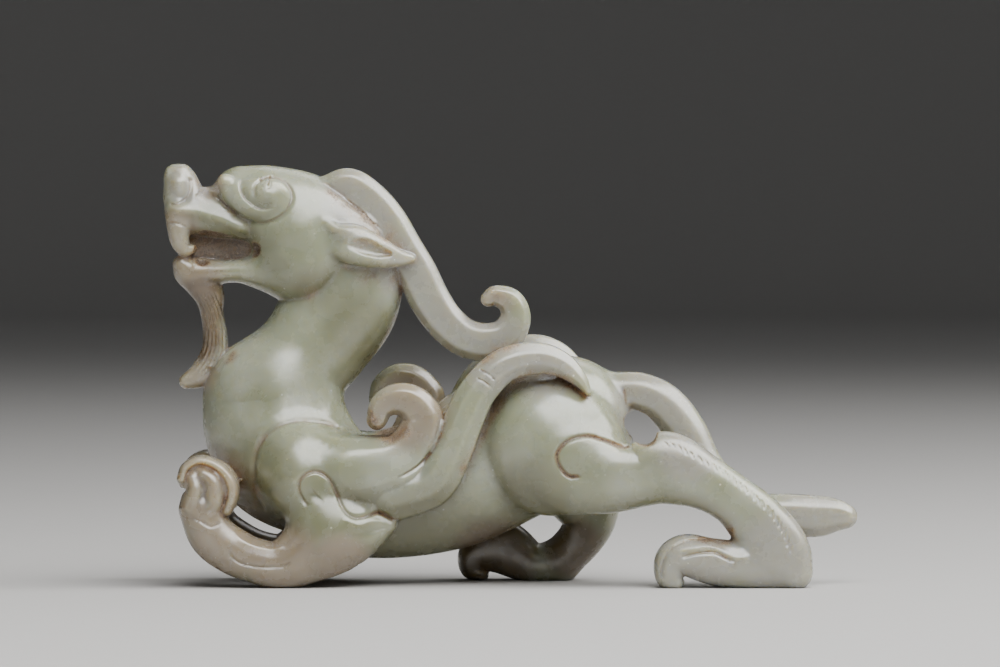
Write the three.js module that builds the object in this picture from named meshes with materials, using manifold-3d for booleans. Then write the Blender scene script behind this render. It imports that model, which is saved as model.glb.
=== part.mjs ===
// A small jade carving of a striding winged beast: head raised with the mouth open, one horn
// flowing back to the shoulders, a wing on each flank, the front paws turned up under the chest,
// one hind leg stretched back, the other tucked under the belly, and a sweeping tail.
// Units are millimetres, Z is up, and the beast looks towards -X. The whole of it is one stone.
//
// Each form is a limb: a line of stations with a rounded section at every station. The limbs
// are joined into one smooth field, and the field's surface becomes the mesh.

import * as THREE from 'three';
import Module from 'manifold-3d';
import { SimplifyModifier } from 'three/addons/modifiers/SimplifyModifier.js';
import { mergeVertices } from 'three/addons/utils/BufferGeometryUtils.js';

// Driving sizes of the stone.
const BLOCK = new THREE.Box3(new THREE.Vector3(-45, -15.5, -2), new THREE.Vector3(45, 15.5, 54.5));
const FAR_WING_LIFT = 0.6; // the far wing stands this much higher than the near one
const FAR_CURL_LIFT = 2.0; // and its curl this much

// How finely the forms are followed.
const STEPS_PER_SPAN = 4; // straight pieces between two stations of a limb
const CULL_MM = 3; // further than this from a form, its box stands for it
const CELL = 0.65; // the net's cell
const TRIANGLES = 9000; // facets kept after thinning

// How the forms meet.
const SOFT = 1.6; // a broad, flowing join
const CLOSE = 0.7; // a tight join
const FINE = 0.6; // a join that stays crisp

const JADE = new THREE.MeshStandardMaterial({
  name: 'jade',
  color: new THREE.Color(0.7, 0.72, 0.6),
  roughness: 0.28,
  metalness: 0,
});

// Fields: each has a box and at(x, y, z), which is negative inside and grows about as fast as
// the distance to the surface.

function field(box, at) {
  const [lo, hi] = [box.min, box.max];
  return {
    box,
    at(x, y, z) {
      const away = Math.max(lo.x - x, x - hi.x, lo.y - y, y - hi.y, lo.z - z, z - hi.z);
      return away > CULL_MM ? away : at(x, y, z);
    },
  };
}

// A limb through stations [x, y, z, rise, half]: rise is the half thickness seen from the side,
// half is the half width across the body, and power squares the section off above 2.
function limb(stations, power = 2.2) {
  const centres = new THREE.CatmullRomCurve3(
    stations.map(([x, y, z]) => new THREE.Vector3(x, y, z)), false, 'catmullrom', 0.5);
  const girths = new THREE.CatmullRomCurve3(
    stations.map(([, , , rise, half]) => new THREE.Vector3(rise, half, 0)),
    false, 'catmullrom', 0.5);
  const count = (stations.length - 1) * STEPS_PER_SPAN;
  const rings = [];
  const box = new THREE.Box3();
  for (let i = 0; i <= count; i++) {
    const c = centres.getPoint(i / count);
    const g = girths.getPoint(i / count);
    rings.push({ x: c.x, y: c.y, z: c.z, rise: Math.max(g.x, 0.1), half: Math.max(g.y, 0.1) });
    box.expandByPoint(new THREE.Vector3(c.x - g.x, c.y - g.y, c.z - g.x));
    box.expandByPoint(new THREE.Vector3(c.x + g.x, c.y + g.y, c.z + g.x));
  }
  return field(box, (x, y, z) => {
    let best = Infinity;
    let near = null;
    for (let i = 0; i < count; i++) {
      const a = rings[i];
      const b = rings[i + 1];
      const dx = b.x - a.x;
      const dz = b.z - a.z;
      const t = THREE.MathUtils.clamp(
        ((x - a.x) * dx + (z - a.z) * dz) / (dx * dx + dz * dz + 1e-9), 0, 1);
      const out = Math.hypot(x - a.x - t * dx, z - a.z - t * dz);
      const rise = a.rise + t * (b.rise - a.rise);
      if (out - rise < best) {
        best = out - rise;
        const side = Math.abs(y - a.y - t * (b.y - a.y));
        near = { out, rise, side, half: a.half + t * (b.half - a.half) };
      }
    }
    const ratio = ((near.out / near.rise) ** power + (near.side / near.half) ** power) ** (1 / power);
    if (ratio < 0.05) return -Math.min(near.rise, near.half);
    return Math.hypot(near.out, near.side) * (1 - 1 / ratio);
  });
}

function mirrored(form) {
  const box = form.box.clone();
  [box.min.y, box.max.y] = [-form.box.max.y, -form.box.min.y];
  return field(box, (x, y, z) => form.at(x, -y, z));
}

function bothSides(form) {
  return joined(0, form, mirrored(form));
}

function blended(a, b, blend) {
  const h = Math.max(blend - Math.abs(a - b), 0);
  return Math.min(a, b) - (blend ? (h * h) / (4 * blend) : 0);
}

function joined(blend, first, ...others) {
  return others.reduce((whole, part) => field(
    whole.box.clone().union(part.box),
    (x, y, z) => blended(whole.at(x, y, z), part.at(x, y, z), blend)), first);
}

function carved(whole, tool, blend = 0.3) {
  return field(whole.box, (x, y, z) => -blended(-whole.at(x, y, z), tool.at(x, y, z), blend));
}

// Stations along an arc in the side view, its rise and half changing evenly from end to end.
function arc({ centre: [cx, cz], radius, degrees: [from, to], y, rise, half, count = 5 }) {
  const mix = THREE.MathUtils.lerp;
  return Array.from({ length: count }, (_, i) => {
    const share = i / (count - 1);
    const angle = THREE.MathUtils.degToRad(mix(from, to, share));
    const r = mix(radius[0], radius[1], share);
    return [
      cx + r * Math.cos(angle), y, cz + r * Math.sin(angle),
      mix(rise[0], rise[1], share), mix(half[0], half[1], share),
    ];
  });
}

function raised(stations, lift) {
  return stations.map(([x, y, z, rise, half]) => [x, y, z + lift, rise, half]);
}

// Sub-parts of the beast. Those off the middle are given on the near side, where y is negative.

function trunk() {
  const neckAndBack = limb([
    [-20.0, 0, 39.2, 6.8, 5.4],
    [-21.3, 0, 35.0, 7.2, 5.7],
    [-23.9, 0, 30.7, 6.7, 6.1],
    [-26.6, 0, 26.6, 6.4, 6.7],
    [-27.2, 0, 21.5, 6.4, 7.6],
    [-26.5, 0, 15.5, 8.3, 8.6],
    [-21.9, 0, 12.3, 7.2, 8.7],
    [-17.2, 0, 11.0, 7.8, 8.8],
    [-8.0, 0, 12.9, 8.7, 8.8],
    [0.2, 0, 17.4, 9.5, 9.2],
    [6.6, 0, 19.7, 8.8, 8.8],
  ], 2.3);
  const breast = limb([
    [-30.5, 0, 23.0, 8.0, 7.4],
    [-30.1, 0, 20.0, 8.3, 8.1],
    [-29.0, 0, 16.6, 8.4, 8.4],
  ]);
  return joined(CLOSE, neckAndBack, breast);
}

function haunch() {
  return limb([
    [4.8, -5.4, 17.3, 8.6, 6.6],
    [7.5, -6.0, 16.2, 7.0, 6.0],
  ]);
}

function stretchedLeg() {
  const shank = limb([
    [7.5, -7.0, 15.2, 6.2, 5.4],
    [12.0, -8.0, 13.7, 4.6, 4.6],
    [16.3, -8.5, 13.9, 3.9, 4.0],
    [19.1, -8.7, 14.8, 4.5, 3.9],
    [23.6, -9.0, 13.2, 3.5, 3.5],
    [27.6, -9.2, 10.8, 3.15, 3.4],
    [30.6, -9.3, 7.9, 3.7, 3.4],
    [33.2, -9.3, 4.4, 4.1, 3.4],
    [34.9, -9.3, 2.2, 2.4, 3.3],
  ]);
  const paw = limb([
    [32.6, -9.3, 3.2, 3.6, 3.4],
    [28.6, -9.4, 2.8, 3.1, 3.4],
    [25.0, -9.4, 3.2, 2.9, 3.4],
    [21.8, -9.4, 3.9, 2.7, 3.4],
    [20.1, -9.4, 3.2, 2.3, 3.3],
    [19.7, -9.4, 1.5, 1.8, 3.1],
    [20.3, -9.4, 0.8, 1.2, 2.9],
  ], 2.6);
  return joined(CLOSE, shank, paw);
}

function tuckedLeg() {
  const shank = limb([
    [7.0, -6.4, 15.8, 7.0, 5.6],
    [10.2, -7.4, 8.2, 3.3, 4.2],
    [8.9, -8.2, 5.4, 2.9, 3.5],
    [6.2, -8.6, 2.4, 2.7, 3.3],
  ]);
  const paw = limb([
    [6.0, -8.6, 2.3, 2.7, 3.3],
    [2.6, -8.8, 2.2, 2.6, 3.4],
    [-1.2, -8.8, 4.2, 3.4, 3.4],
    [-4.2, -8.8, 3.4, 2.3, 3.3],
    [-4.9, -8.8, 1.6, 1.5, 3.1],
    [-3.6, -8.8, 0.8, 0.9, 2.9],
  ], 2.6);
  return joined(CLOSE, shank, paw);
}

function tail() {
  return limb([
    [9.5, 0, 24.1, 2.6, 3.4],
    [13.0, 0, 23.95, 2.5, 3.3],
    [16.2, -0.4, 23.8, 2.55, 3.1],
    [19.3, -1.0, 22.3, 2.6, 3.0],
    [21.9, -1.6, 19.0, 2.6, 2.9],
    [24.0, -2.1, 14.6, 2.6, 2.9],
    [27.2, -2.4, 11.0, 2.5, 2.8],
    [31.2, -2.4, 9.1, 2.4, 2.7],
    [34.9, -2.3, 8.8, 2.6, 2.7],
    [38.4, -2.1, 8.7, 2.5, 2.5],
    [41.4, -2.0, 8.7, 1.85, 2.0],
  ], 2.4);
}

function frontLeg() {
  const shoulder = limb([
    [-25.9, -7.4, 14.4, 5.8, 4.9],
    [-20.0, -8.0, 14.0, 4.6, 4.3],
    [-14.4, -8.3, 13.0, 4.4, 3.8],
  ]);
  const forearm = limb([
    [-15.2, -9.0, 7.5, 0.9, 2.2],
    [-18.2, -9.3, 6.9, 2.8, 3.0],
    [-21.6, -9.5, 6.3, 4.4, 3.5],
    [-25.2, -9.5, 4.3, 3.8, 3.6],
    [-28.5, -9.6, 2.8, 3.1, 3.5],
    [-31.5, -9.6, 3.3, 2.8, 3.4],
    [-34.4, -9.6, 4.5, 2.9, 3.4],
    [-37.0, -9.6, 6.5, 2.9, 3.4],
    [-38.4, -9.6, 9.6, 2.7, 3.3],
  ], 2.5);
  const pads = limb([
    [-38.3, -9.5, 13.4, 3.0, 3.5],
    [-36.9, -9.5, 12.8, 3.2, 3.6],
  ], 2.4);
  return joined(CLOSE, shoulder, joined(FINE, forearm, pads));
}

// The two wings are carved a little differently, so each is given its lift.
function wing({ lift, curlLift }) {
  const curl = limb([
    [-19.0, -8.2, 14.4, 3.6, 3.8],
    [-13.6, -8.6, 16.0, 3.0, 3.4],
    ...arc({
      centre: [-14.1, 20.5 + curlLift], radius: [3.2, 2.5], degrees: [-12, 172], y: -8.9,
      rise: [2.5, 1.3], half: [3.0, 2.2], count: 6,
    }),
  ], 2.6);
  const plume = limb(raised([
    [-14.6, -8.2, 11.0, 2.4, 3.6],
    [-9.9, -8.8, 12.7, 2.7, 3.6],
    [-7.6, -9.2, 16.4, 2.6, 3.4],
    [-5.9, -9.3, 20.6, 2.45, 3.1],
    [-4.0, -9.2, 24.4, 2.3, 2.9],
    [-0.8, -9.0, 27.5, 2.1, 2.8],
    [3.2, -8.6, 28.4, 1.95, 2.7],
    [6.3, -8.4, 27.6, 1.55, 2.6],
    [8.6, -8.6, 25.7, 0.9, 2.2],
    [9.6, -9.0, 24.2, 0.4, 1.4],
  ], lift), 2.8);
  return joined(FINE, plume, curl);
}

function skull() {
  const crown = limb([
    [-19.8, 0, 42.9, 4.6, 5.6],
    [-25.4, 0, 45.5, 5.6, 6.2],
    [-30.0, 0, 47.4, 4.8, 5.7],
    [-33.5, 0, 48.3, 3.9, 5.0],
  ], 2.3);
  const snout = limb([
    [-33.6, 0, 46.5, 3.4, 4.4],
    [-37.3, 0, 46.5, 3.1, 3.7],
    [-40.2, 0, 47.1, 2.9, 3.4],
    [-40.9, 0, 50.2, 2.1, 3.2],
  ], 2.5);
  const cheek = limb([
    [-26.8, 0, 42.9, 5.4, 6.7],
    [-25.2, 0, 40.2, 5.2, 6.9],
  ], 2.3);
  const jaw = limb([
    [-27.0, 0, 39.7, 4.2, 5.6],
    [-30.6, 0, 38.9, 2.3, 4.4],
    [-34.0, 0, 39.1, 1.5, 3.6],
    [-37.4, 0, 38.9, 1.6, 3.2],
    [-39.7, 0, 38.8, 2.1, 3.0],
    [-41.0, 0, 39.9, 1.25, 2.7],
  ], 2.5);
  const lips = limb([
    [-41.4, -2.0, 45.5, 1.6, 1.7],
    [-41.6, -2.1, 43.1, 1.3, 1.5],
    [-40.9, -2.1, 41.8, 1.0, 1.3],
    [-39.8, -2.0, 41.9, 0.6, 1.0],
  ]);
  const nostril = limb([
    [-41.5, -2.0, 50.6, 1.4, 1.7],
    [-41.8, -2.0, 50.3, 1.3, 1.7],
  ]);
  const brow = limb([
    [-35.4, -3.6, 50.1, 1.0, 1.4],
    [-33.4, -3.9, 49.0, 1.9, 1.7],
    [-31.2, -4.3, 48.1, 2.7, 1.9],
    [-29.7, -4.6, 48.3, 2.5, 1.9],
  ]);
  const head = joined(CLOSE, crown, cheek, jaw, snout);
  return joined(FINE, head, bothSides(lips), bothSides(nostril), bothSides(brow));
}

// A hollow in each side of the face.
function mouth() {
  const gape = limb([
    [-38.9, -4.2, 42.9, 1.1, 3.0],
    [-37.7, -4.2, 42.8, 1.2, 2.9],
    [-36.2, -4.3, 42.2, 1.2, 2.7],
    [-34.4, -4.5, 41.8, 1.2, 2.6],
    [-32.6, -4.9, 41.3, 1.0, 2.3],
  ], 3);
  const floor = limb([
    [-38.4, -4.2, 42.4, 1.3, 3.0],
    [-38.8, -4.2, 40.7, 1.3, 2.6],
  ], 3);
  return bothSides(joined(0, gape, floor));
}

// The stone left between the two hollows, which is the floor of both.
function palate() {
  return limb([
    [-38.9, 0, 42.0, 2.2, 1.7],
    [-35.6, 0, 41.9, 2.2, 2.1],
    [-31.6, 0, 41.4, 2.2, 3.0],
  ]);
}

function ear() {
  const leaf = limb([
    [-21.6, -5.6, 42.8, 1.3, 1.4],
    [-19.6, -6.0, 42.0, 2.1, 1.6],
    [-16.7, -5.9, 41.3, 1.9, 1.6],
    [-14.1, -4.7, 40.8, 1.1, 1.7],
    [-12.2, -4.1, 40.8, 0.4, 1.3],
  ]);
  const hollow = limb([
    [-19.2, -7.7, 42.2, 0.8, 0.9],
    [-17.1, -7.6, 41.7, 0.9, 0.9],
    [-15.2, -6.9, 41.1, 0.4, 0.7],
  ]);
  return carved(leaf, hollow);
}

function temple() {
  return limb([
    [-24.9, -5.4, 47.5, 0.8, 0.9],
    [-22.6, -5.6, 45.3, 1.0, 1.1],
    [-19.3, -5.6, 44.3, 1.0, 1.1],
    [-15.0, -4.4, 41.8, 0.7, 1.4],
  ]);
}

function horn() {
  return limb([
    [-22.4, 0, 49.0, 2.2, 3.3],
    [-20.2, 0, 49.5, 2.4, 3.6],
    [-17.8, 0, 48.0, 2.4, 3.6],
    [-15.6, 0, 45.4, 2.5, 3.5],
    [-13.6, 0, 42.0, 2.5, 3.5],
    [-11.7, 0, 38.8, 2.5, 3.4],
    [-10.2, 0, 35.7, 2.5, 3.4],
    [-8.3, 0, 32.9, 2.4, 3.4],
    [-5.8, 0, 30.8, 2.35, 3.4],
    [-3.0, 0, 30.2, 2.4, 3.4],
    [-0.6, 0, 31.0, 2.2, 3.3],
    [0.6, 0, 33.2, 1.9, 3.3],
    [0.0, 0, 35.2, 1.65, 3.2],
    [-1.8, 0, 36.0, 1.25, 3.1],
    [-2.8, 0, 35.6, 0.95, 3.0],
  ], 2.8);
}

function beard() {
  return limb([
    [-38.8, 0, 38.0, 2.2, 2.7],
    [-37.7, 0, 36.2, 1.9, 2.5],
    [-37.35, 0, 34.0, 1.45, 2.4],
    [-36.95, 0, 31.1, 1.5, 2.4],
    [-37.1, 0, 28.6, 1.7, 2.4],
    [-38.5, 0, 26.3, 1.65, 2.3],
    [-40.5, 0, 25.3, 0.95, 2.0],
  ], 2.6);
}

// The whole beast, from the body outwards.
function beast() {
  const body = joined(SOFT, trunk(), bothSides(haunch()));
  const onLegs = joined(CLOSE, body, stretchedLeg(), mirrored(tuckedLeg()), tail());
  const nearWing = wing({ lift: 0, curlLift: 0 });
  const farWing = mirrored(wing({ lift: FAR_WING_LIFT, curlLift: FAR_CURL_LIFT }));
  const winged = joined(FINE, onLegs, bothSides(frontLeg()), nearWing, farWing);
  const face = carved(joined(CLOSE, skull(), bothSides(temple())), mouth());
  const head = joined(FINE, face, palate(), bothSides(ear()), beard());
  return joined(FINE, winged, head, horn());
}

// Meshing: a surface net with one vertex in each cell that the surface crosses.

const CORNERS = Array.from({ length: 8 }, (_, i) => [i & 1, (i >> 1) & 1, (i >> 2) & 1]);
const EDGES = CORNERS.flatMap((_, i) => [1, 2, 4].filter((bit) => !(i & bit)).map((bit) => [i, i | bit]));
const FACES = [1, 2, 4].flatMap((axis) => [0, axis].map((side) => {
  const [u, v] = [1, 2, 4].filter((bit) => bit !== axis);
  return [side, side | u, side | u | v, side | v];
}));

// A cell can hold one vertex only if its inside corners hang together, its outside corners do,
// and no face has its insides on opposite corners.
function isSimple(mask) {
  const inside = (i) => (mask >> i) & 1;
  const oneGroup = (value) => {
    const members = CORNERS.map((_, i) => i).filter((i) => inside(i) === value);
    const reached = new Set(members.slice(0, 1));
    for (let round = 0; round < 8; round++) {
      EDGES.forEach(([a, b]) => {
        if (inside(a) !== value || inside(b) !== value) return;
        if (reached.has(a)) reached.add(b);
        if (reached.has(b)) reached.add(a);
      });
    }
    return reached.size === members.length;
  };
  const crossed = FACES.some(([a, b, c, d]) => (
    inside(a) === inside(c) && inside(b) === inside(d) && inside(a) !== inside(b)));
  return oneGroup(0) && oneGroup(1) && !crossed;
}

function surfaceNet(form, box, cell) {
  const size = box.getSize(new THREE.Vector3()).divideScalar(cell).ceil().addScalar(1);
  const [nx, ny, nz] = [size.x, size.y, size.z];
  const index = (i, j, k) => i + nx * (j + ny * k);
  const place = (i, j, k) => [box.min.x + i * cell, box.min.y + j * cell, box.min.z + k * cell];
  const values = new Float32Array(nx * ny * nz);
  for (let k = 0; k < nz; k++) {
    for (let j = 0; j < ny; j++) {
      for (let i = 0; i < nx; i++) values[index(i, j, k)] = form.at(...place(i, j, k));
    }
  }
  const simple = Array.from({ length: 256 }, (_, mask) => isSimple(mask));
  const maskAt = (i, j, k) => CORNERS.reduce(
    (mask, [a, b, c], bit) => mask | ((values[index(i + a, j + b, k + c)] < 0 ? 1 : 0) << bit), 0);

  // Cells that can't hold one vertex are filled in, which closes a gap finer than the net.
  for (let again = true; again;) {
    again = false;
    for (let k = 0; k < nz - 1; k++) {
      for (let j = 0; j < ny - 1; j++) {
        for (let i = 0; i < nx - 1; i++) {
          if (simple[maskAt(i, j, k)]) continue;
          again = true;
          CORNERS.forEach(([a, b, c]) => {
            const n = index(i + a, j + b, k + c);
            if (values[n] >= 0) values[n] = -0.02 * cell;
          });
        }
      }
    }
  }

  const vertices = [];
  const vertexOf = new Int32Array(nx * ny * nz).fill(-1);
  for (let k = 0; k < nz - 1; k++) {
    for (let j = 0; j < ny - 1; j++) {
      for (let i = 0; i < nx - 1; i++) {
        const mask = maskAt(i, j, k);
        if (mask === 0 || mask === 255) continue;
        const sum = new THREE.Vector3();
        let crossings = 0;
        EDGES.forEach(([a, b]) => {
          if (((mask >> a) & 1) === ((mask >> b) & 1)) return;
          const [p, q] = [a, b].map((n) => CORNERS[n]);
          const [va, vb] = [p, q].map(([u, v, w]) => values[index(i + u, j + v, k + w)]);
          const share = va / (va - vb);
          sum.add(new THREE.Vector3(...p).lerp(new THREE.Vector3(...q), share));
          crossings++;
        });
        sum.divideScalar(crossings).multiplyScalar(cell).add(new THREE.Vector3(...place(i, j, k)));
        vertexOf[index(i, j, k)] = vertices.length;
        vertices.push(onSurface(form, sum, cell));
      }
    }
  }

  const triangles = [];
  for (let k = 1; k < nz - 1; k++) {
    for (let j = 1; j < ny - 1; j++) {
      for (let i = 1; i < nx - 1; i++) {
        const here = values[index(i, j, k)] < 0;
        [[1, 0, 0], [0, 1, 0], [0, 0, 1]].forEach(([a, b, c]) => {
          if (here === values[index(i + a, j + b, k + c)] < 0) return;
          const [u, v] = [[b, c, a], [c, a, b]];
          const ring = [[0, 0], [1, 0], [1, 1], [0, 1]].map(([s, t]) => vertexOf[index(
            i - s * u[0] - t * v[0], j - s * u[1] - t * v[1], k - s * u[2] - t * v[2])]);
          if (here) ring.reverse();
          const [p, q, r, s] = ring.map((n) => vertices[n]);
          const across = p.distanceTo(r) < q.distanceTo(s);
          const [f, g, h, m] = across ? ring : [ring[1], ring[2], ring[3], ring[0]];
          triangles.push(f, g, h, f, h, m);
        });
      }
    }
  }
  const geometry = new THREE.BufferGeometry().setFromPoints(vertices);
  geometry.setIndex(new THREE.BufferAttribute(new Uint32Array(triangles), 1));
  return geometry;
}

// Moves a point onto the field's surface, by at most the reach.
function onSurface(form, start, reach) {
  const step = 0.02;
  const point = start.clone();
  for (let round = 0; round < 3; round++) {
    const { x, y, z } = point;
    const value = form.at(x, y, z);
    const slope = new THREE.Vector3(
      form.at(x + step, y, z) - form.at(x - step, y, z),
      form.at(x, y + step, z) - form.at(x, y - step, z),
      form.at(x, y, z + step) - form.at(x, y, z - step),
    ).divideScalar(2 * step);
    point.addScaledVector(slope, -value / Math.max(slope.lengthSq(), 0.25));
  }
  const moved = point.clone().sub(start);
  return start.clone().add(moved.clampLength(0, 0.6 * reach));
}

// Fewer facets, spent where the surface curves.
async function thinned(geometry, triangles) {
  const excess = Math.max(0, Math.floor((geometry.index.count / 3 - triangles) / 2));
  return new SimplifyModifier().modify(geometry, excess);
}

const wasm = await Module();
wasm.setup();

function solid(geometry) {
  return new wasm.Manifold(new wasm.Mesh({
    numProp: 3,
    vertProperties: new Float32Array(geometry.attributes.position.array),
    triVerts: new Uint32Array(geometry.index.array),
  }));
}

// Grinds the feet flat at z = 0.
function ground(geometry) {
  const { min, max } = BLOCK;
  const below = new THREE.BoxGeometry(2 * (max.x - min.x), 2 * (max.y - min.y), -2 * min.z);
  below.translate(0, 0, min.z);
  below.deleteAttribute('normal');
  below.deleteAttribute('uv');
  const cut = solid(geometry).subtract(solid(mergeVertices(below))).getMesh();
  const result = new THREE.BufferGeometry();
  result.setAttribute('position', new THREE.BufferAttribute(cut.vertProperties, 3));
  result.setIndex(new THREE.BufferAttribute(cut.triVerts, 1));
  return result;
}

// Puts the origin under the middle of the stone's box.
function centred(geometry) {
  geometry.computeBoundingBox();
  const { min, max } = geometry.boundingBox;
  return geometry.translate(-(min.x + max.x) / 2, -(min.y + max.y) / 2, 0);
}

const facets = await thinned(surfaceNet(beast(), BLOCK, CELL), TRIANGLES);
const stone = new THREE.Mesh(centred(ground(facets)), JADE);
stone.name = 'jade_beast';

const carving = new THREE.Group();
carving.add(stone);

export default carving;
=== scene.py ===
"""A small jade carving of a striding winged beast, dressed for the studio.

The stone is one solid, so one piece stands for it. Its forms are limbs: lines of stations with a
rounded section at each. The limbs are joined into one smooth field, lines are cut into the field,
and the field's surface becomes the mesh. What the field knows about every point of the surface,
such as how deep it lies in a fold and how thin the stone is there, is kept on the mesh and drives
the jade's colour, and some of that colour is painted light: painted shade in hollows, on faces
that turn down and on the low patches, and a painted glow where the stone is thin. The forms are
given in millimetres, in the frame of the CAD part; Blender's
objects are in metres. The beast looks towards -X, and its near side is where y is negative.
"""

import logging
import math
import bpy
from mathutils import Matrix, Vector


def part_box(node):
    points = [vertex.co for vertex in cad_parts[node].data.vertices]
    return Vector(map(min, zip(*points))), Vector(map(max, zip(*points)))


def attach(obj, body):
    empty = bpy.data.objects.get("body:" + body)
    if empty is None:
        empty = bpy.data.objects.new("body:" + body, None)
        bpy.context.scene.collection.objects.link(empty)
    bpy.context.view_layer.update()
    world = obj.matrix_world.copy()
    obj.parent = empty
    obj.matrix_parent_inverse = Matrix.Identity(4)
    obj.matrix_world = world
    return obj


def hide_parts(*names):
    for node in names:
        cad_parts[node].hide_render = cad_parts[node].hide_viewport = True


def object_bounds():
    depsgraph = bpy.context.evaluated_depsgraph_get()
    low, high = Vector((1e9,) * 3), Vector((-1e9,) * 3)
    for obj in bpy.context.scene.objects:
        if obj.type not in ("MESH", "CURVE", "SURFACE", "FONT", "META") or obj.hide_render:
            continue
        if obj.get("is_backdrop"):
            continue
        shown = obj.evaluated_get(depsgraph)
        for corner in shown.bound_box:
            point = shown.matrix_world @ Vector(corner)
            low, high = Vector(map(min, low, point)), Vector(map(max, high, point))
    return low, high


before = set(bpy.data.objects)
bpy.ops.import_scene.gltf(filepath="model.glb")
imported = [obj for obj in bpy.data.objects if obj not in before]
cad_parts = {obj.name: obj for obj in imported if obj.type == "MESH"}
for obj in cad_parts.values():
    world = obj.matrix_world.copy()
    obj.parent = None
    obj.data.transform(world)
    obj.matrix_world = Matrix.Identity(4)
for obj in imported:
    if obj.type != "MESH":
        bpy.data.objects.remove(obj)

from concurrent.futures import ThreadPoolExecutor
from dataclasses import dataclass, field
from enum import Enum
from typing import Any, Callable

import bpy
import numpy as np
from mathutils import Vector

LOG = logging.getLogger("jade_beast")
NODE = "jade_beast"
MM = 0.001
TINY = 1e-9  # keeps a division from one by zero

Array = np.ndarray
Points = list[tuple[float, ...]]
Socket = bpy.types.NodeSocket

# How finely the field is followed, in mm.
FINE_CELL = 0.18
COARSE_STEPS = 3  # how many times the first, coarse cells are halved to reach the fine ones
MOST_TRIANGLES = 196_000
SPAN_STEP = 0.45  # length of the straight pieces that stand for a limb's curve
LINE_STEP = 0.3  # and for an incised line's
CULL = 3.0  # further than this from a form, its box stands for it
CHUNK = 32_768  # points worked on at a time by each thread
BLOCK = 200_000  # and pairs of point and piece
WORKERS = 4
OVERSHOOT = 0.75  # how far past its ends a piece of curve is followed, as a share of its length
THINNEST = 0.1  # the least half size of a limb's section, in mm
LEAST_SLOPE = 0.05  # the least slope of a section's ratio, per mm
NET_MARGIN = 1.6  # cells are kept this many sides from the surface while they are halved
BARELY_INSIDE = -0.02  # the field at a corner that is filled in, in cells
PROBE = 0.04  # the step to each side over which the field's slope is measured, in mm
MOVES = 2  # how many times each vertex is moved onto the surface

# How forms meet, in mm.
FLOWING = 2.4  # a join that hardly shows
SOFT = 1.6  # a broad join
CLOSE = 0.7  # a tight join
CRISP = 0.35  # a join that stays sharp, with a fold where the forms meet
BEVEL_SOFTNESS = 0.06  # how rounded a bevel's edges are, as a share of the half sizes

# How lines and stains run out, in mm unless it is a share.
LINE_END = 3  # a line reaches this many times its width
RUN_OUT = 0.5  # over how much of the flank's depth a line fades
STAIN_SPREAD = 1.3  # how much wider its stain is than its cut
DIRT_DEPTH = 0.3  # how far from a cut's walls the stone is stained

# How far the field is felt from each point of the surface, in mm.
FOLD_REACHES = 0.35, 0.9
# The reach over which hollows are found for the painted shade.
HOLLOW_REACH = 2.5
# The reach over which thin stone is found for the painted glow.
THIN_REACH = 3.0

# The far wing is carved a little higher than the near one.
FAR_WING_LIFT = 0.6
FAR_CURL_LIFT = 2.0


# ---------------------------------------------------------------------------------------------
# Fields
# ---------------------------------------------------------------------------------------------

def catmull_rom(points: Array, steps: list[int]) -> Array:
    """Returns points on the smooth curve through the given ones.

    Args:
        points: The points to pass through, one a row, in any number of dimensions.
        steps: How many straight pieces each span between two points gets.

    Returns:
        The curve's points in order, the last of them included.
    """
    first, last = 2 * points[0] - points[1], 2 * points[-1] - points[-2]
    p = np.concatenate([[first], points, [last]])
    rows = []
    for i, count in enumerate(steps):
        t = (np.arange(count) / count)[:, None]
        a, b = p[i + 1], p[i + 2]
        m, n = (p[i + 2] - p[i]) / 2, (p[i + 3] - p[i + 1]) / 2
        rows.append(a + t * m + t**2 * (3 * (b - a) - 2 * m - n) + t**3 * (2 * (a - b) + m + n))
    return np.concatenate([*rows, points[-1:]])


def smooth_step(value: Array) -> Array:
    """Returns value held between 0 and 1, with no kink at either end."""
    t = np.clip(value, 0, 1)
    return t * t * (3 - 2 * t)


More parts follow.
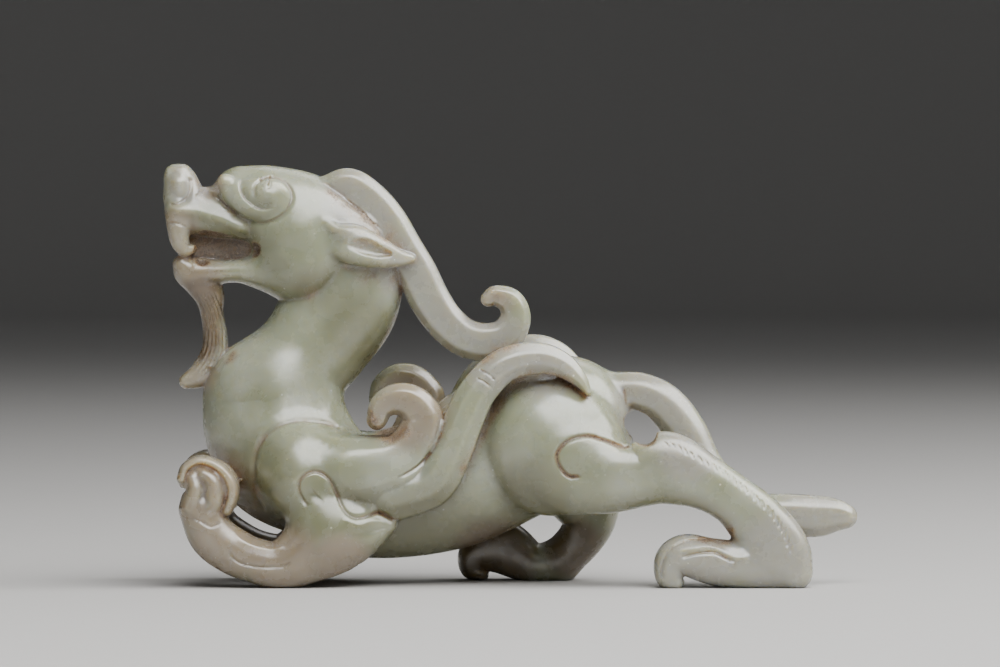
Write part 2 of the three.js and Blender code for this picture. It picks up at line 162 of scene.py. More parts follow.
class Track:
    """A curve in the side view, cut into straight pieces."""

    def __init__(self, points: Array, step: float, girths: int | None = None) -> None:
        """Lays the pieces out.

        Args:
            points: Rows of x, z and anything else that changes along the curve.
            step: The greatest length of a piece, in mm.
            girths: The column whose value is taken off the distance, or None.
        """
        spans = np.hypot(*np.diff(points[:, :2], axis=0).T)
        rows = catmull_rom(points, [max(3, math.ceil(s / step)) for s in spans])
        self.rows = rows.astype(np.float32)
        self.middle = rows[:, :2].mean(0)
        start = rows[:-1, :2] - self.middle
        along = np.diff(rows[:, :2], axis=0)
        square = (along**2).sum(1) + TINY
        self.square = square.astype(np.float32)
        self.lengths = np.sqrt(self.square)
        self.before = np.concatenate([[0], np.cumsum(self.lengths)]).astype(np.float32)
        self.to_share = np.vstack(
            [along.T / square, np.zeros(len(square)), -(start * along).sum(1) / square]
        ).astype(np.float32)
        self.to_square = np.vstack(
            [-2 * start.T, np.ones(len(square)), (start**2).sum(1)]
        ).astype(np.float32)
        self.girths = girths
        girth = rows[:, girths] if girths else np.zeros(len(rows))
        self.girth = girth[:-1].astype(np.float32)
        self.swell = np.diff(girth).astype(np.float32)
        slope = np.diff(rows, axis=0) / self.lengths[:, None]
        weight = self.lengths[:, None]
        inner = (slope[:-1] * weight[1:] + slope[1:] * weight[:-1]) / (weight[:-1] + weight[1:])
        self.slopes = np.concatenate([slope[:1], inner, slope[-1:]]).astype(np.float32)

    def nearest(self, x: Array, z: Array) -> tuple[Array, Array, Array, Array]:
        """Finds the place on the curve nearest to each point, less the curve's girth there.

        Args:
            x: The points' x.
            z: The points' z.

        Returns:
            The index of the piece, the share along it, the row of values there, and how far the
            point lies from it in x and z.
        """
        piece, share = self.nearest_straight(x, z)
        start, slope = self.rows[piece], self.slopes[piece]
        along = self.rows[piece + 1] - start
        turn = self.slopes[piece + 1] - slope
        length = self.lengths[piece]
        lowest = np.where(piece == 0, 0, -OVERSHOOT)
        highest = np.where(piece == len(self.square) - 1, 1, 1 + OVERSHOOT)
        at = np.stack([x, z], 1)
        for last in (False, False, True):
            t = share[:, None]
            row = start + t * along - t * (1 - t) / 2 * length[:, None] * turn
            away = at - row[:, :2]
            if last:
                return piece, share, row, away
            way = slope + t * turn
            ahead = (away * way[:, :2]).sum(1)
            if self.girths:
                ahead += np.hypot(*away.T) * way[:, self.girths]
            bend = (away * turn[:, :2]).sum(1)
            share = share + ahead / np.maximum(length - bend, 0.2 * length)
            share = np.clip(share, lowest, highest).astype(np.float32)

    def nearest_straight(self, x: Array, z: Array) -> tuple[Array, Array]:
        """Finds the straight piece nearest to each point.

        Args:
            x: The points' x.
            z: The points' z.

        Returns:
            The index of the piece, and the share along it.
        """
        pieces = np.empty(len(x), np.int64)
        shares = np.empty(len(x), np.float32)
        block = max(64, BLOCK // len(self.square))
        for i in range(0, len(x), block):
            px, pz = x[i:i + block] - self.middle[0], z[i:i + block] - self.middle[1]
            q = np.stack([px, pz, px * px + pz * pz, np.ones_like(px)], 1).astype(np.float32)
            raw = q @ self.to_share
            share = np.clip(raw, 0, 1)
            raw *= 2
            raw -= share
            raw *= share
            raw *= self.square
            out = q @ self.to_square
            out -= raw
            np.maximum(out, 0, out=out)
            np.sqrt(out, out=out)
            np.multiply(share, self.swell, out=raw)
            raw += self.girth
            out -= raw
            piece = out.argmin(1)
            row = np.arange(len(piece))
            pieces[i:i + block] = piece
            shares[i:i + block] = share[row, piece]
        return pieces, shares


class Form:
    """A shape as a number over space: negative inside, growing about as fast as the distance.

    Points are given as three rows, x, y and z.
    """

    def __init__(self, lo: Any, hi: Any) -> None:
        """Keeps the corners of the box that holds the form."""
        self.lo = np.asarray(lo, np.float32)
        self.hi = np.asarray(hi, np.float32)

    def exact(self, p: Array) -> Array:
        """Returns the field at points that are near the form. Each kind of form has its own."""
        raise NotImplementedError

    def at(self, p: Array) -> Array:
        """Works the field out where the form is near.

        Args:
            p: The points.

        Returns:
            The field at each point; far from the form, the distance to its box.
        """
        value = np.maximum(p - self.hi[:, None], self.lo[:, None] - p).max(0)
        near = np.flatnonzero(value < CULL)
        if near.size == p.shape[1]:
            return self.exact(p)
        if near.size:
            value[near] = self.exact(np.ascontiguousarray(p[:, near]))
        return value

    def stain(self, p: Array) -> Array:
        """Returns how stained the stone is at each point, from 0 to about 1."""
        return np.zeros(p.shape[1], np.float32)


def box_round(forms: Any) -> tuple[Array, Array]:
    """Returns the low and the high corner of the box that holds the forms."""
    return np.min([f.lo for f in forms], axis=0), np.max([f.hi for f in forms], axis=0)


class Limb(Form):
    """A swept form through stations of x, y, z, rise and half.

    Rise is the half thickness seen from the side, and half is the half width across the body.
    """

    def __init__(
        self, stations: Points, power: float = 2.2, chamfer: float = 0.0, slant: float = 1.0,
    ) -> None:
        """Sweeps the form.

        Args:
            stations: Rows of x, y, z, rise and half, in mm.
            power: Squares the section off above 2.
            chamfer: Where a bevel cuts the section's corners, as the sum of both shares of the
                half sizes; 0 leaves the section without one.
            slant: How much the share across the rise counts in that sum. Below 1 the bevel is
                broader and turns more towards the side.
        """
        s = np.asarray(stations, float)
        self.track = Track(s[:, [0, 2, 1, 3, 4]], SPAN_STEP, girths=3)
        rows = self.track.rows
        self.power = power
        self.chamfer = chamfer
        self.slant = slant
        around = rows[:, [3, 4, 3]]
        centre = rows[:, [0, 2, 1]]
        super().__init__((centre - around).min(0), (centre + around).max(0))

    def exact(self, p: Array) -> Array:
        """Returns the ratio of each point's place to the section's edge, brought to a distance."""
        _, _, row, away = self.track.nearest(p[0], p[2])
        rise, half = np.maximum(row[:, 3:], THINNEST).T
        a = np.hypot(*away.T) / rise
        b = np.abs(p[1] - row[:, 2]) / half
        part_a, part_b = a**self.power, b**self.power
        whole = np.maximum(part_a + part_b, TINY)
        ratio = whole ** (1 / self.power)
        sharp = 1 - 1 / self.power
        up, across = (part_a / whole) ** sharp, (part_b / whole) ** sharp
        if self.chamfer:
            cut = (self.slant * a + b) / self.chamfer
            share = np.clip(0.5 + (cut - ratio) / (2 * BEVEL_SOFTNESS), 0, 1)
            ratio = -blended(-ratio, -cut, BEVEL_SOFTNESS)
            up += share * (self.slant / self.chamfer - up)
            across += share * (1 / self.chamfer - across)
        return (ratio - 1) / np.maximum(np.hypot(up / rise, across / half), LEAST_SLOPE)


class Mirrored(Form):
    """A form seen in a mirror that stands along the middle of the beast."""

    def __init__(self, form: Form) -> None:
        """Keeps the form, and turns its box over."""
        self.form = form
        lo, hi = form.lo.copy(), form.hi.copy()
        lo[1], hi[1] = -form.hi[1], -form.lo[1]
        super().__init__(lo, hi)

    def exact(self, p: Array) -> Array:
        """Returns the form's field at the mirrored points."""
        return self.form.at(np.stack([p[0], -p[1], p[2]]))

    def stain(self, p: Array) -> Array:
        """Returns the form's stain at the mirrored points."""
        return self.form.stain(np.stack([p[0], -p[1], p[2]]))


def blended(a: Array, b: Array, blend: float) -> Array:
    """Runs two fields together.

    Args:
        a: The one field's values.
        b: The other's.
        blend: Where the two are this close to each other the result is rounded over.

    Returns:
        The lower of the two, and a little less where it is rounded.
    """
    if not blend:
        return np.minimum(a, b)
    h = np.maximum(blend - np.abs(a - b), 0)
    return np.minimum(a, b) - h * h / (4 * blend)


class Joined(Form):
    """Forms run together into one."""

    def __init__(self, blend: float, *forms: Form) -> None:
        """Keeps the forms, and how softly they meet, in mm."""
        self.blend, self.forms = blend, forms
        super().__init__(*box_round(forms))

    def exact(self, p: Array) -> Array:
        """Returns the lowest of the fields, blended one after another."""
        value = self.forms[0].at(p)
        for form in self.forms[1:]:
            value = blended(value, form.at(p), self.blend)
        return value

    def stain(self, p: Array) -> Array:
        """Returns the strongest of the stains."""
        return np.max([f.stain(p) for f in self.forms], axis=0)


class Meeting(Form):
    """Forms that meet in their own ways, two by two, and are simply laid over each other else."""

    def __init__(self, forms: dict[str, Form], blends: dict[tuple[str, str], float]) -> None:
        """Keeps the forms by name.

        Args:
            forms: The forms.
            blends: For a pair of names, how softly the two meet, in mm.
        """
        self.forms, self.blends = forms, blends
        super().__init__(*box_round(forms.values()))

    def exact(self, p: Array) -> Array:
        """Returns the lowest of the fields and of the blended pairs."""
        values = {name: form.at(p) for name, form in self.forms.items()}
        whole = np.min(list(values.values()), axis=0)
        for (a, b), blend in self.blends.items():
            np.minimum(whole, blended(values[a], values[b], blend), out=whole)
        return whole

    def stain(self, p: Array) -> Array:
        """Returns the strongest of the stains."""
        return np.max([f.stain(p) for f in self.forms.values()], axis=0)


class Carved(Form):
    """A form with another cut out of it."""

    def __init__(self, form: Form, tool: Form, blend: float = 0.3, dirt: float = 0.0) -> None:
        """Cuts the form.

        Args:
            form: The form that is cut.
            tool: What is cut out.
            blend: How rounded the cut's edges are, in mm.
            dirt: How stained the cut's walls are.
        """
        self.form, self.tool, self.blend, self.dirt = form, tool, blend, dirt
        super().__init__(form.lo, form.hi)

    def exact(self, p: Array) -> Array:
        """Returns the form's field, or outside it the tool's, turned inside out."""
        return -blended(-self.form.at(p), self.tool.at(p), self.blend)

    def stain(self, p: Array) -> Array:
        """Returns the form's stain, and the dirt on the cut's walls."""
        value = self.form.stain(p)
        if self.dirt:
            walls = self.dirt * smooth_step(1 - self.tool.at(p) / DIRT_DEPTH)
            np.maximum(value, walls, out=value)
        return value


class Stained(Form):
    """A form whose own surface is stained; on the palate the stain is partly painted shade."""

    def __init__(self, form: Form, dirt: float) -> None:
        """Keeps the form and how stained it is."""
        self.form, self.dirt = form, dirt
        super().__init__(form.lo, form.hi)

    def exact(self, p: Array) -> Array:
        """Returns the form's own field."""
        return self.form.exact(p)

    def stain(self, p: Array) -> Array:
        """Returns the dirt, on the form's surface alone."""
        return self.dirt * smooth_step(1 - np.abs(self.form.at(p)) / DIRT_DEPTH)


class Ground(Form):
    """Everything below the floor that the stone stands on."""

    def __init__(self) -> None:
        """Makes its box larger than the stone."""
        super().__init__([-60, -60, -10], [60, 60, 0])

    def exact(self, p: Array) -> Array:
        """Returns the height."""
        return p[2].copy()


def both_sides(form: Form) -> Form:
    """Returns the form and its mirror image."""
    return Joined(0, form, Mirrored(form))


@dataclass
class Line:
    """A line cut into one flank, or raised on it, drawn in the side view.

    Attributes:
        points: Rows of x and z, in mm.
        depth: How deep it is cut; below 0 it is a raised ridge.
        left: How far the cut reaches to the left of the line's direction, in mm.
        right: How far it reaches to the right.
        beyond: It is cut only where the stone is further than this from the middle.
        taper: How far from each end the cut runs out, in mm.
        stain: How much dirt has stayed in it.
    """

    points: Points
    depth: float = 0.3
    left: float = 0.3
    right: float = 0.3
    beyond: float = 2.0
    taper: float = 1.0
    stain: float = 0.4
    track: Track = field(init=False, repr=False)

    def __post_init__(self) -> None:
        """Lays the line out, and finds the box that it reaches."""
        self.track = Track(np.asarray(self.points, float), LINE_STEP)
        reach = LINE_END * max(self.left, self.right)
        ends = self.track.rows[:, :2]
        self.lo, self.hi = ends.min(0) - reach, ends.max(0) + reach

    def influence(self, p: Array, wider: float = 1.0) -> tuple[Array, Array]:
        """Finds the points that the line reaches.

        Args:
            p: The points.
            wider: How many times as wide as it is the line is taken.

        Returns:
            Their indices, and from 0 to 1 how much it reaches each.
        """
        depth = np.abs(p[1]) - self.beyond + RUN_OUT
        rows = np.flatnonzero(
            (p[0] > self.lo[0]) & (p[0] < self.hi[0])
            & (p[2] > self.lo[1]) & (p[2] < self.hi[1]) & (depth > 0)
        )
        if not rows.size:
            return rows, np.zeros(0, np.float32)
        x, z = p[0, rows], p[2, rows]
        piece, share, _, away = self.track.nearest(x, z)
        out = np.hypot(*away.T)
        along = self.track.slopes[piece]
        to_left = along[:, 0] * away[:, 1] - along[:, 1] * away[:, 0] > 0
        width = np.where(to_left, self.left, self.right) * wider
        amount = np.exp(-((out / width) ** 2))
        if self.taper:
            done = self.track.before[piece] + share * self.track.lengths[piece]
            left_over = np.minimum(done, self.track.before[-1] - done)
            amount *= smooth_step(left_over / self.taper)
        amount *= smooth_step(depth[rows])
        return rows, amount.astype(np.float32)


class Incised(Form):
    """A form with lines cut into its flanks."""

    def __init__(self, form: Form, *lines: Line) -> None:
        """Keeps the form and its lines."""
        self.form, self.lines = form, lines
        super().__init__(form.lo, form.hi)

    def exact(self, p: Array) -> Array:
        """Returns the form's field, raised where a line is cut."""
        value = self.form.at(p)
        for line in self.lines:
            rows, amount = line.influence(p)
            value[rows] += line.depth * amount
        return value

    def stain(self, p: Array) -> Array:
        """Returns the form's stain, and the dirt in its lines."""
        value = self.form.stain(p)
        for line in self.lines:
            rows, amount = line.influence(p, STAIN_SPREAD)
            value[rows] = np.maximum(value[rows], line.stain * amount)
        return value


def arc(centre: tuple, radius: tuple, degrees: tuple, count: int) -> Points:
    """Returns points on an arc or spiral in the side view.

    Args:
        centre: Its x and z.
        radius: Its radius at the start and at the end.
        degrees: Its angle at the start and at the end, from +X towards +Z.
        count: How many points.

    Returns:
        The points, each an x and a z.
    """
    rows = []
    for i in range(count):
        share = i / (count - 1)
        angle = math.radians(degrees[0] + share * (degrees[1] - degrees[0]))
        r = radius[0] + share * (radius[1] - radius[0])
        rows.append((centre[0] + r * math.cos(angle), centre[1] + r * math.sin(angle)))
    return rows


# ---------------------------------------------------------------------------------------------
# The forms of the beast
# ---------------------------------------------------------------------------------------------

@dataclass
class Trunk:
    """The neck, breast and back, with the haunches and the tail."""

    def spine(self) -> Form:
        """Returns the neck and back."""
        return Limb([
            (-20.0, 0, 39.2, 6.8, 5.4), (-21.3, 0, 35.0, 7.2, 5.7), (-23.9, 0, 30.7, 6.7, 6.1),
            (-26.6, 0, 26.6, 6.4, 6.7), (-27.2, 0, 21.5, 6.4, 7.6), (-26.5, 0, 15.5, 8.3, 8.6),
            (-21.9, 0, 12.3, 7.2, 8.7), (-17.2, 0, 11.0, 7.8, 8.8), (-8.0, 0, 12.9, 8.7, 8.8),
            (0.2, 0, 17.4, 9.5, 8.4), (6.6, 0, 19.7, 8.8, 8.2),
        ], 2.3)

    def breast(self) -> Form:
        """Returns the swell of the breast."""
        return Limb([
            (-30.5, 0, 23.0, 8.0, 7.4), (-30.1, 0, 20.0, 8.3, 8.1), (-29.0, 0, 16.6, 8.4, 8.6),
        ])

    def haunch(self) -> Form:
        """Returns the rounded top of the near hind leg."""
        return Limb([(5.0, -5.4, 17.4, 8.7, 6.7), (7.5, -6.0, 16.2, 7.2, 6.1)], 2.15)

    def tail(self) -> Form:
        """Returns the tail, which sweeps down behind the stretched leg."""
        sweep = Limb([
            (9.5, 0, 24.1, 2.6, 3.4), (13.0, 0, 23.95, 2.5, 3.3), (16.2, -0.4, 23.8, 2.55, 3.1),
            (19.3, -1.0, 22.3, 2.6, 3.0), (21.9, -1.6, 19.0, 2.6, 2.9),
            (24.0, -2.1, 14.6, 2.6, 2.9), (27.2, -2.4, 11.0, 2.5, 2.8),
            (31.2, -2.4, 9.1, 2.4, 2.7), (34.9, -2.3, 8.7, 2.6, 2.7), (38.0, -2.1, 8.5, 2.6, 2.6),
            (40.2, -2.0, 8.65, 2.1, 2.4), (41.7, -2.0, 8.5, 1.55, 2.1),
        ], 3.0, chamfer=1.5)
        root = Line([(14.2, 24.8), (14.25, 23.3), (14.5, 21.8)], depth=0.12, left=0.12,
                    right=0.18, taper=0.5, stain=0.8)
        return Incised(sweep, root)

    def form(self) -> Form:
        """Returns the trunk and haunches."""
        body = Joined(FLOWING, self.spine(), self.breast())
        return Joined(CLOSE, body, both_sides(self.haunch()))


@dataclass
class StretchedLeg:
    """The near hind leg, which reaches back, with the hair nicked into its upper edge.

    Attributes:
        nicks: How many strokes of hair.
        nick_length: Their length at the hip and at the heel, in mm.
        nick_slant: How far they turn into the leg, in degrees.
    """

    nicks: int = 23
    nick_length: tuple = (1.3, 1.7)
    nick_slant: float = 33.0

    def shank(self) -> Form:
        """Returns the leg down to the heel."""
        return Limb([
            (7.5, -7.0, 15.2, 6.2, 5.4), (12.0, -8.0, 13.7, 4.6, 4.6),
            (16.3, -8.5, 13.9, 3.9, 4.0), (19.1, -8.7, 14.8, 4.5, 3.9),
            (23.6, -9.0, 13.2, 3.5, 3.5), (27.6, -9.2, 10.8, 3.15, 3.4),
            (30.6, -9.3, 7.9, 3.7, 3.4), (33.1, -9.3, 4.6, 3.9, 3.4), (35.0, -9.3, 2.0, 2.45, 3.3),
        ], 3.0, chamfer=1.66)

    def paw(self) -> Form:
        """Returns the paw, whose toes curl under."""
        sole = Limb([
            (32.6, -9.3, 3.2, 3.6, 3.4), (28.6, -9.4, 2.8, 3.1, 3.4), (25.0, -9.4, 3.2, 2.9, 3.4),
            (21.8, -9.4, 3.9, 2.7, 3.4), (20.1, -9.4, 3.2, 2.3, 3.3), (19.7, -9.4, 1.5, 1.8, 3.1),
            (20.3, -9.4, 0.8, 1.2, 2.9),
        ], 2.6)
        crest = [(20.2, 4.1), (21.2, 4.8), (22.6, 5.0), (24.2, 5.2), (25.4, 5.0), (26.6, 4.4),
                 (27.8, 3.9), (29.6, 3.9)]
        furrow = [(20.9, 3.8), (22.4, 4.25), (24.1, 4.5), (25.4, 4.4), (26.6, 3.8), (27.9, 3.2)]
        rim = [(24.6, 6.0), (23.4, 6.0), (21.9, 5.9), (20.5, 5.4), (19.3, 4.4), (18.7, 3.1),
               (18.6, 1.8), (19.0, 0.8)]
        return Incised(
            Carved(sole, self.arch(), 0.1),
            Line(crest, depth=-0.2, left=0.3, right=0.22, beyond=10, stain=0),
            Line(furrow, depth=0.3, left=0.18, right=0.2, beyond=10, stain=0.1),
            Line(rim, depth=0.2, left=0.4, right=0.12, beyond=10, stain=0.15),
        )

    def arch(self) -> Form:
        """Returns the wedge between the toes' tip and the sole."""
        return Limb([
            (21.6, -9.4, 1.2, 0.25, 6), (22.3, -9.4, 0.7, 0.4, 6), (23.8, -9.4, 0.1, 0.45, 6),
            (25.4, -9.4, -0.5, 0.5, 6),
        ])

    def hair(self) -> list[Line]:
        """Returns the strokes along the leg's upper edge."""
        edge = Track(np.array([
            (18.7, 18.3), (20.3, 18.0), (22.4, 16.9), (26.1, 14.9), (29.0, 12.8), (31.3, 10.8),
            (32.8, 9.2), (34.0, 7.4), (34.8, 5.6),
        ]), LINE_STEP).rows
        turn = -math.radians(self.nick_slant)
        cosine, sine = math.cos(turn), math.sin(turn)
        strokes = []
        for i in range(self.nicks):
            share = i / (self.nicks - 1)
            n = round(share * (len(edge) - 2))
            dx, dz = unit(edge[n + 1:n + 2] - edge[n:n + 1])[0]
            way = np.array([dx * cosine - dz * sine, dx * sine + dz * cosine])
            length = self.nick_length[0] + share * (self.nick_length[1] - self.nick_length[0])
            start = edge[n]
            middle = start + way * length / 2 + np.array([-dz, dx]) * 0.05
            strokes.append(Line(
                [tuple(start), tuple(middle), tuple(start + way * length)],
                depth=0.13, left=0.13, right=0.15, beyond=10, taper=0.5, stain=0.0))
        return strokes

    def form(self) -> Form:
        """Returns the leg with its paw."""
        crook = Line([(26.4, 8.2), (27.1, 7.2), (26.9, 6.1), (25.8, 5.5), (24.2, 6.0), (22.3, 6.3)],
                     depth=0.05, left=0.5, right=0.6, beyond=7, stain=0.75)
        whole = Joined(CLOSE, self.shank(), self.paw())
        return Incised(whole, crook, *self.hair())


@dataclass
class TuckedLeg:
    """The far hind leg, drawn up under the belly."""

    def form(self) -> Form:
        """Returns the leg as if it were on the near side."""
        shank = Limb([
            (7.0, -6.4, 15.8, 7.0, 5.6), (8.9, -6.9, 11.7, 5.0, 4.9), (9.9, -7.4, 8.2, 3.5, 4.2),
            (8.9, -8.2, 5.4, 2.9, 3.5),
            (6.2, -8.6, 2.4, 2.7, 3.3),
        ])
        paw = Limb([
            (6.0, -8.6, 2.3, 2.7, 3.3), (2.6, -8.8, 2.2, 2.6, 3.4), (-1.2, -8.8, 4.2, 3.4, 3.4),
            (-4.2, -8.8, 3.4, 2.3, 3.3), (-4.9, -8.8, 1.6, 1.5, 3.1), (-3.6, -8.8, 0.8, 0.9, 2.9),
        ], 2.6)
        toes = Line([(-3.9, 5.0), (-2.4, 5.8), (-0.6, 5.6), (1.2, 4.1), (3.2, 3.3), (5.4, 3.6)],
                    depth=0.3, left=0.25, right=0.35, beyond=8, stain=0.2)
        return Incised(Joined(CLOSE, shank, paw), toes)


@dataclass
class FrontLeg:
    """A front leg, bent at the elbow, with its paw turned up."""

    def shoulder(self) -> Form:
        """Returns the shoulder and the upper arm."""
        blade = Limb([
            (-25.9, -7.4, 14.4, 5.8, 4.9), (-20.0, -8.0, 14.0, 4.6, 4.3),
            (-14.4, -8.3, 13.0, 4.4, 3.8),
        ])
        arm = Limb([
            (-26.0, -8.2, 13.2, 4.0, 4.2), (-24.2, -9.0, 10.0, 3.7, 3.9),
            (-22.6, -9.4, 7.0, 3.9, 3.6),
        ])
        return Joined(SOFT, blade, arm)

    def forearm(self) -> Form:
        """Returns the forearm and the paw it ends in."""
        arm = Limb([
            (-15.2, -9.0, 7.5, 0.9, 2.2), (-18.2, -9.3, 6.9, 2.8, 3.0),
            (-21.6, -9.5, 6.3, 4.4, 3.5), (-25.2, -9.5, 4.3, 3.8, 3.6),
            (-28.5, -9.6, 2.8, 3.1, 3.5), (-31.5, -9.6, 3.3, 2.8, 3.4),
            (-34.4, -9.6, 4.5, 2.9, 3.4), (-37.0, -9.6, 6.5, 2.9, 3.4),
            (-38.4, -9.6, 9.6, 2.7, 3.3),
        ], 2.5)
        paw = Limb([(-38.3, -9.4, 13.3, 2.8, 3.1), (-36.9, -9.4, 12.7, 3.1, 3.2)], 2.6)
        lower = [(-40.6, 10.0), (-40.0, 8.8), (-39.2, 8.7), (-38.2, 8.2), (-37.0, 7.6),
                 (-35.6, 8.1)]
        return Incised(
            Joined(CRISP, arm, paw, *self.pads()),
            Line(lower, depth=0.12, left=0.3, right=0.12, beyond=9.5, taper=0.7, stain=0.1),
            Line([(-42.6, 11.7), (-41.3, 12.0), (-40.1, 12.2)], depth=0.9, left=0.2, right=0.3,
                 beyond=6.5, taper=0.4, stain=0.25),
            Line([(-35.0, 4.9), (-33.9, 3.4), (-31.5, 2.7), (-28.4, 2.7), (-27.0, 3.4)],
                 depth=0.2, left=0.2, right=0.12, beyond=10, stain=0.15),
            Line([(-34.2, 6.9), (-33.0, 5.9), (-31.3, 5.2), (-29.3, 4.9), (-27.8, 5.4)],
                 depth=-0.16, left=0.14, right=0.4, beyond=10.5, stain=0),
        )

    def pads(self) -> list[Form]:
        """Returns the paw's pads, and the ring that the turned-up toes make round them."""
        inner = Limb([
            (-39.3, -9.5, 13.6, 1.1, 3.3), (-39.0, -9.5, 12.2, 1.35, 3.65),
            (-39.4, -9.5, 10.9, 1.4, 3.6), (-39.9, -9.5, 9.9, 1.1, 3.3),
        ])
        middle = Limb([
            (-38.0, -9.5, 14.2, 1.0, 3.4), (-37.1, -9.5, 13.5, 1.3, 3.65),
            (-36.7, -9.5, 12.3, 1.5, 3.75), (-36.7, -9.5, 10.7, 1.5, 3.7),
            (-37.3, -9.5, 9.5, 1.3, 3.4),
        ])
        ring = Limb([
            (-40.7, -9.5, 13.5, 0.65, 3.2), (-40.2, -9.5, 14.9, 0.65, 3.3),
            (-38.6, -9.5, 15.8, 0.6, 3.3), (-36.8, -9.5, 15.4, 0.65, 3.35),
            (-35.4, -9.5, 14.3, 0.75, 3.4), (-34.5, -9.5, 12.7, 0.85, 3.4),
            (-34.5, -9.5, 11.0, 0.8, 3.3), (-35.1, -9.5, 9.6, 0.7, 3.0),
        ], 2.6)
        return [inner, middle, ring]

    def lines(self) -> list[Line]:
        """Returns the lines that part the shoulder and the elbow from the flank."""
        outline = [(-30.3, 9.1), (-31.5, 11.4), (-31.7, 13.4), (-31.5, 16.3), (-30.3, 18.6),
                   (-28.4, 20.0), (-26.1, 20.5), (-23.2, 20.2), (-20.9, 19.3)]
        elbow = [(-24.6, 10.2), (-25.3, 10.6), (-25.7, 11.2), (-26.1, 12.1), (-26.1, 13.0),
                 (-25.6, 13.8), (-24.5, 14.4), (-23.4, 14.2), (-22.5, 13.5), (-21.9, 12.5),
                 (-21.4, 11.3), (-20.9, 10.1), (-20.3, 9.3), (-19.4, 8.75), (-18.5, 8.7),
                 (-17.4, 9.0), (-16.3, 9.25), (-15.2, 8.8), (-14.4, 8.2)]
        drop = [(-25.4, 12.7), (-24.8, 12.4), (-23.9, 11.4), (-22.9, 10.4)]
        edge = [(-20.9, 8.9), (-19.5, 8.1), (-18.5, 7.9), (-17.4, 8.3), (-16.4, 8.3), (-15.7, 7.8)]
        return [
            Line(outline, depth=0.22, left=0.5, right=0.16, beyond=6.0, stain=0.35),
            Line(elbow, depth=0.26, left=0.3, right=0.16, beyond=8.5, stain=0.4),
            Line(drop, depth=0.14, left=0.16, right=0.7, beyond=8.5, taper=1.6, stain=0),
            Line(edge, depth=-0.14, left=0.25, right=0.3, beyond=8.5, taper=1.2, stain=0),
        ]


@dataclass
class Wing:
    """A wing: a plume that sweeps up the flank, and a curl at its root.

    Attributes:
        lift: How much higher the plume stands than the near wing's, in mm.
        curl_lift: How much higher the curl stands.
    """

    lift: float = 0.0
    curl_lift: float = 0.0

    def curl(self) -> Form:
        """Returns the curl at the wing's root."""
        turn = arc((-14.1, 20.5 + self.curl_lift), (3.2, 2.5), (-12, 172), 6)
        stations = [(-19.0, -8.2, 14.4, 3.6, 3.8), (-13.6, -8.6, 16.0, 3.1, 3.4)]
        for i, (x, z) in enumerate(turn):
            share = i / (len(turn) - 1)
            stations.append((x, -8.9, z, 2.7 - 1.4 * share, 3.0 - 0.8 * share))
        return Limb(stations, 5, chamfer=1.6)

    def plume(self) -> Form:
        """Returns the plume."""
        stations = [
            (-14.6, -8.2, 11.0, 2.4, 3.6), (-9.9, -8.8, 12.7, 2.7, 3.6),
            (-7.6, -9.2, 16.4, 2.6, 3.4), (-5.9, -9.3, 20.6, 2.45, 3.1),
            (-4.0, -9.2, 24.4, 2.3, 2.9), (-0.8, -9.0, 27.5, 2.1, 2.8),
            (3.2, -8.6, 28.4, 1.95, 2.7), (6.3, -8.4, 27.6, 1.55, 2.6), (8.6, -8.6, 25.7, 0.9, 2.2),
            (9.6, -9.0, 24.2, 0.4, 1.4),
        ]
        lifted = [(x, y, z + self.lift, rise, half) for x, y, z, rise, half in stations]
        bars = [
            Line(self.raised(bar), depth=0.2, left=0.11, right=0.11, beyond=9, taper=0.3,
                 stain=0.05)
            for bar in ([(-3.9, 27.1), (-2.8, 26.5), (-1.9, 25.7)],
                        [(-4.2, 26.0), (-3.2, 25.5), (-2.3, 24.7)])
        ]
        return Incised(Limb(lifted, 5, chamfer=1.2, slant=0.55), *bars)

    def raised(self, points: Points) -> Points:
        """Returns the points of a line on the plume, lifted as it is."""
        return [(x, z + self.lift) for x, z in points]

    def crease(self) -> Line:
        """Returns the line that parts the curl from the plume."""
        points = [(-8.4, 22.0), (-8.3, 20.2), (-9.2, 17.8), (-11.1, 15.5), (-13.0, 14.2),
                  (-14.6, 13.5)]
        return Line(points, depth=0.28, left=0.3, right=0.14, beyond=8, stain=0.3, taper=2.0)


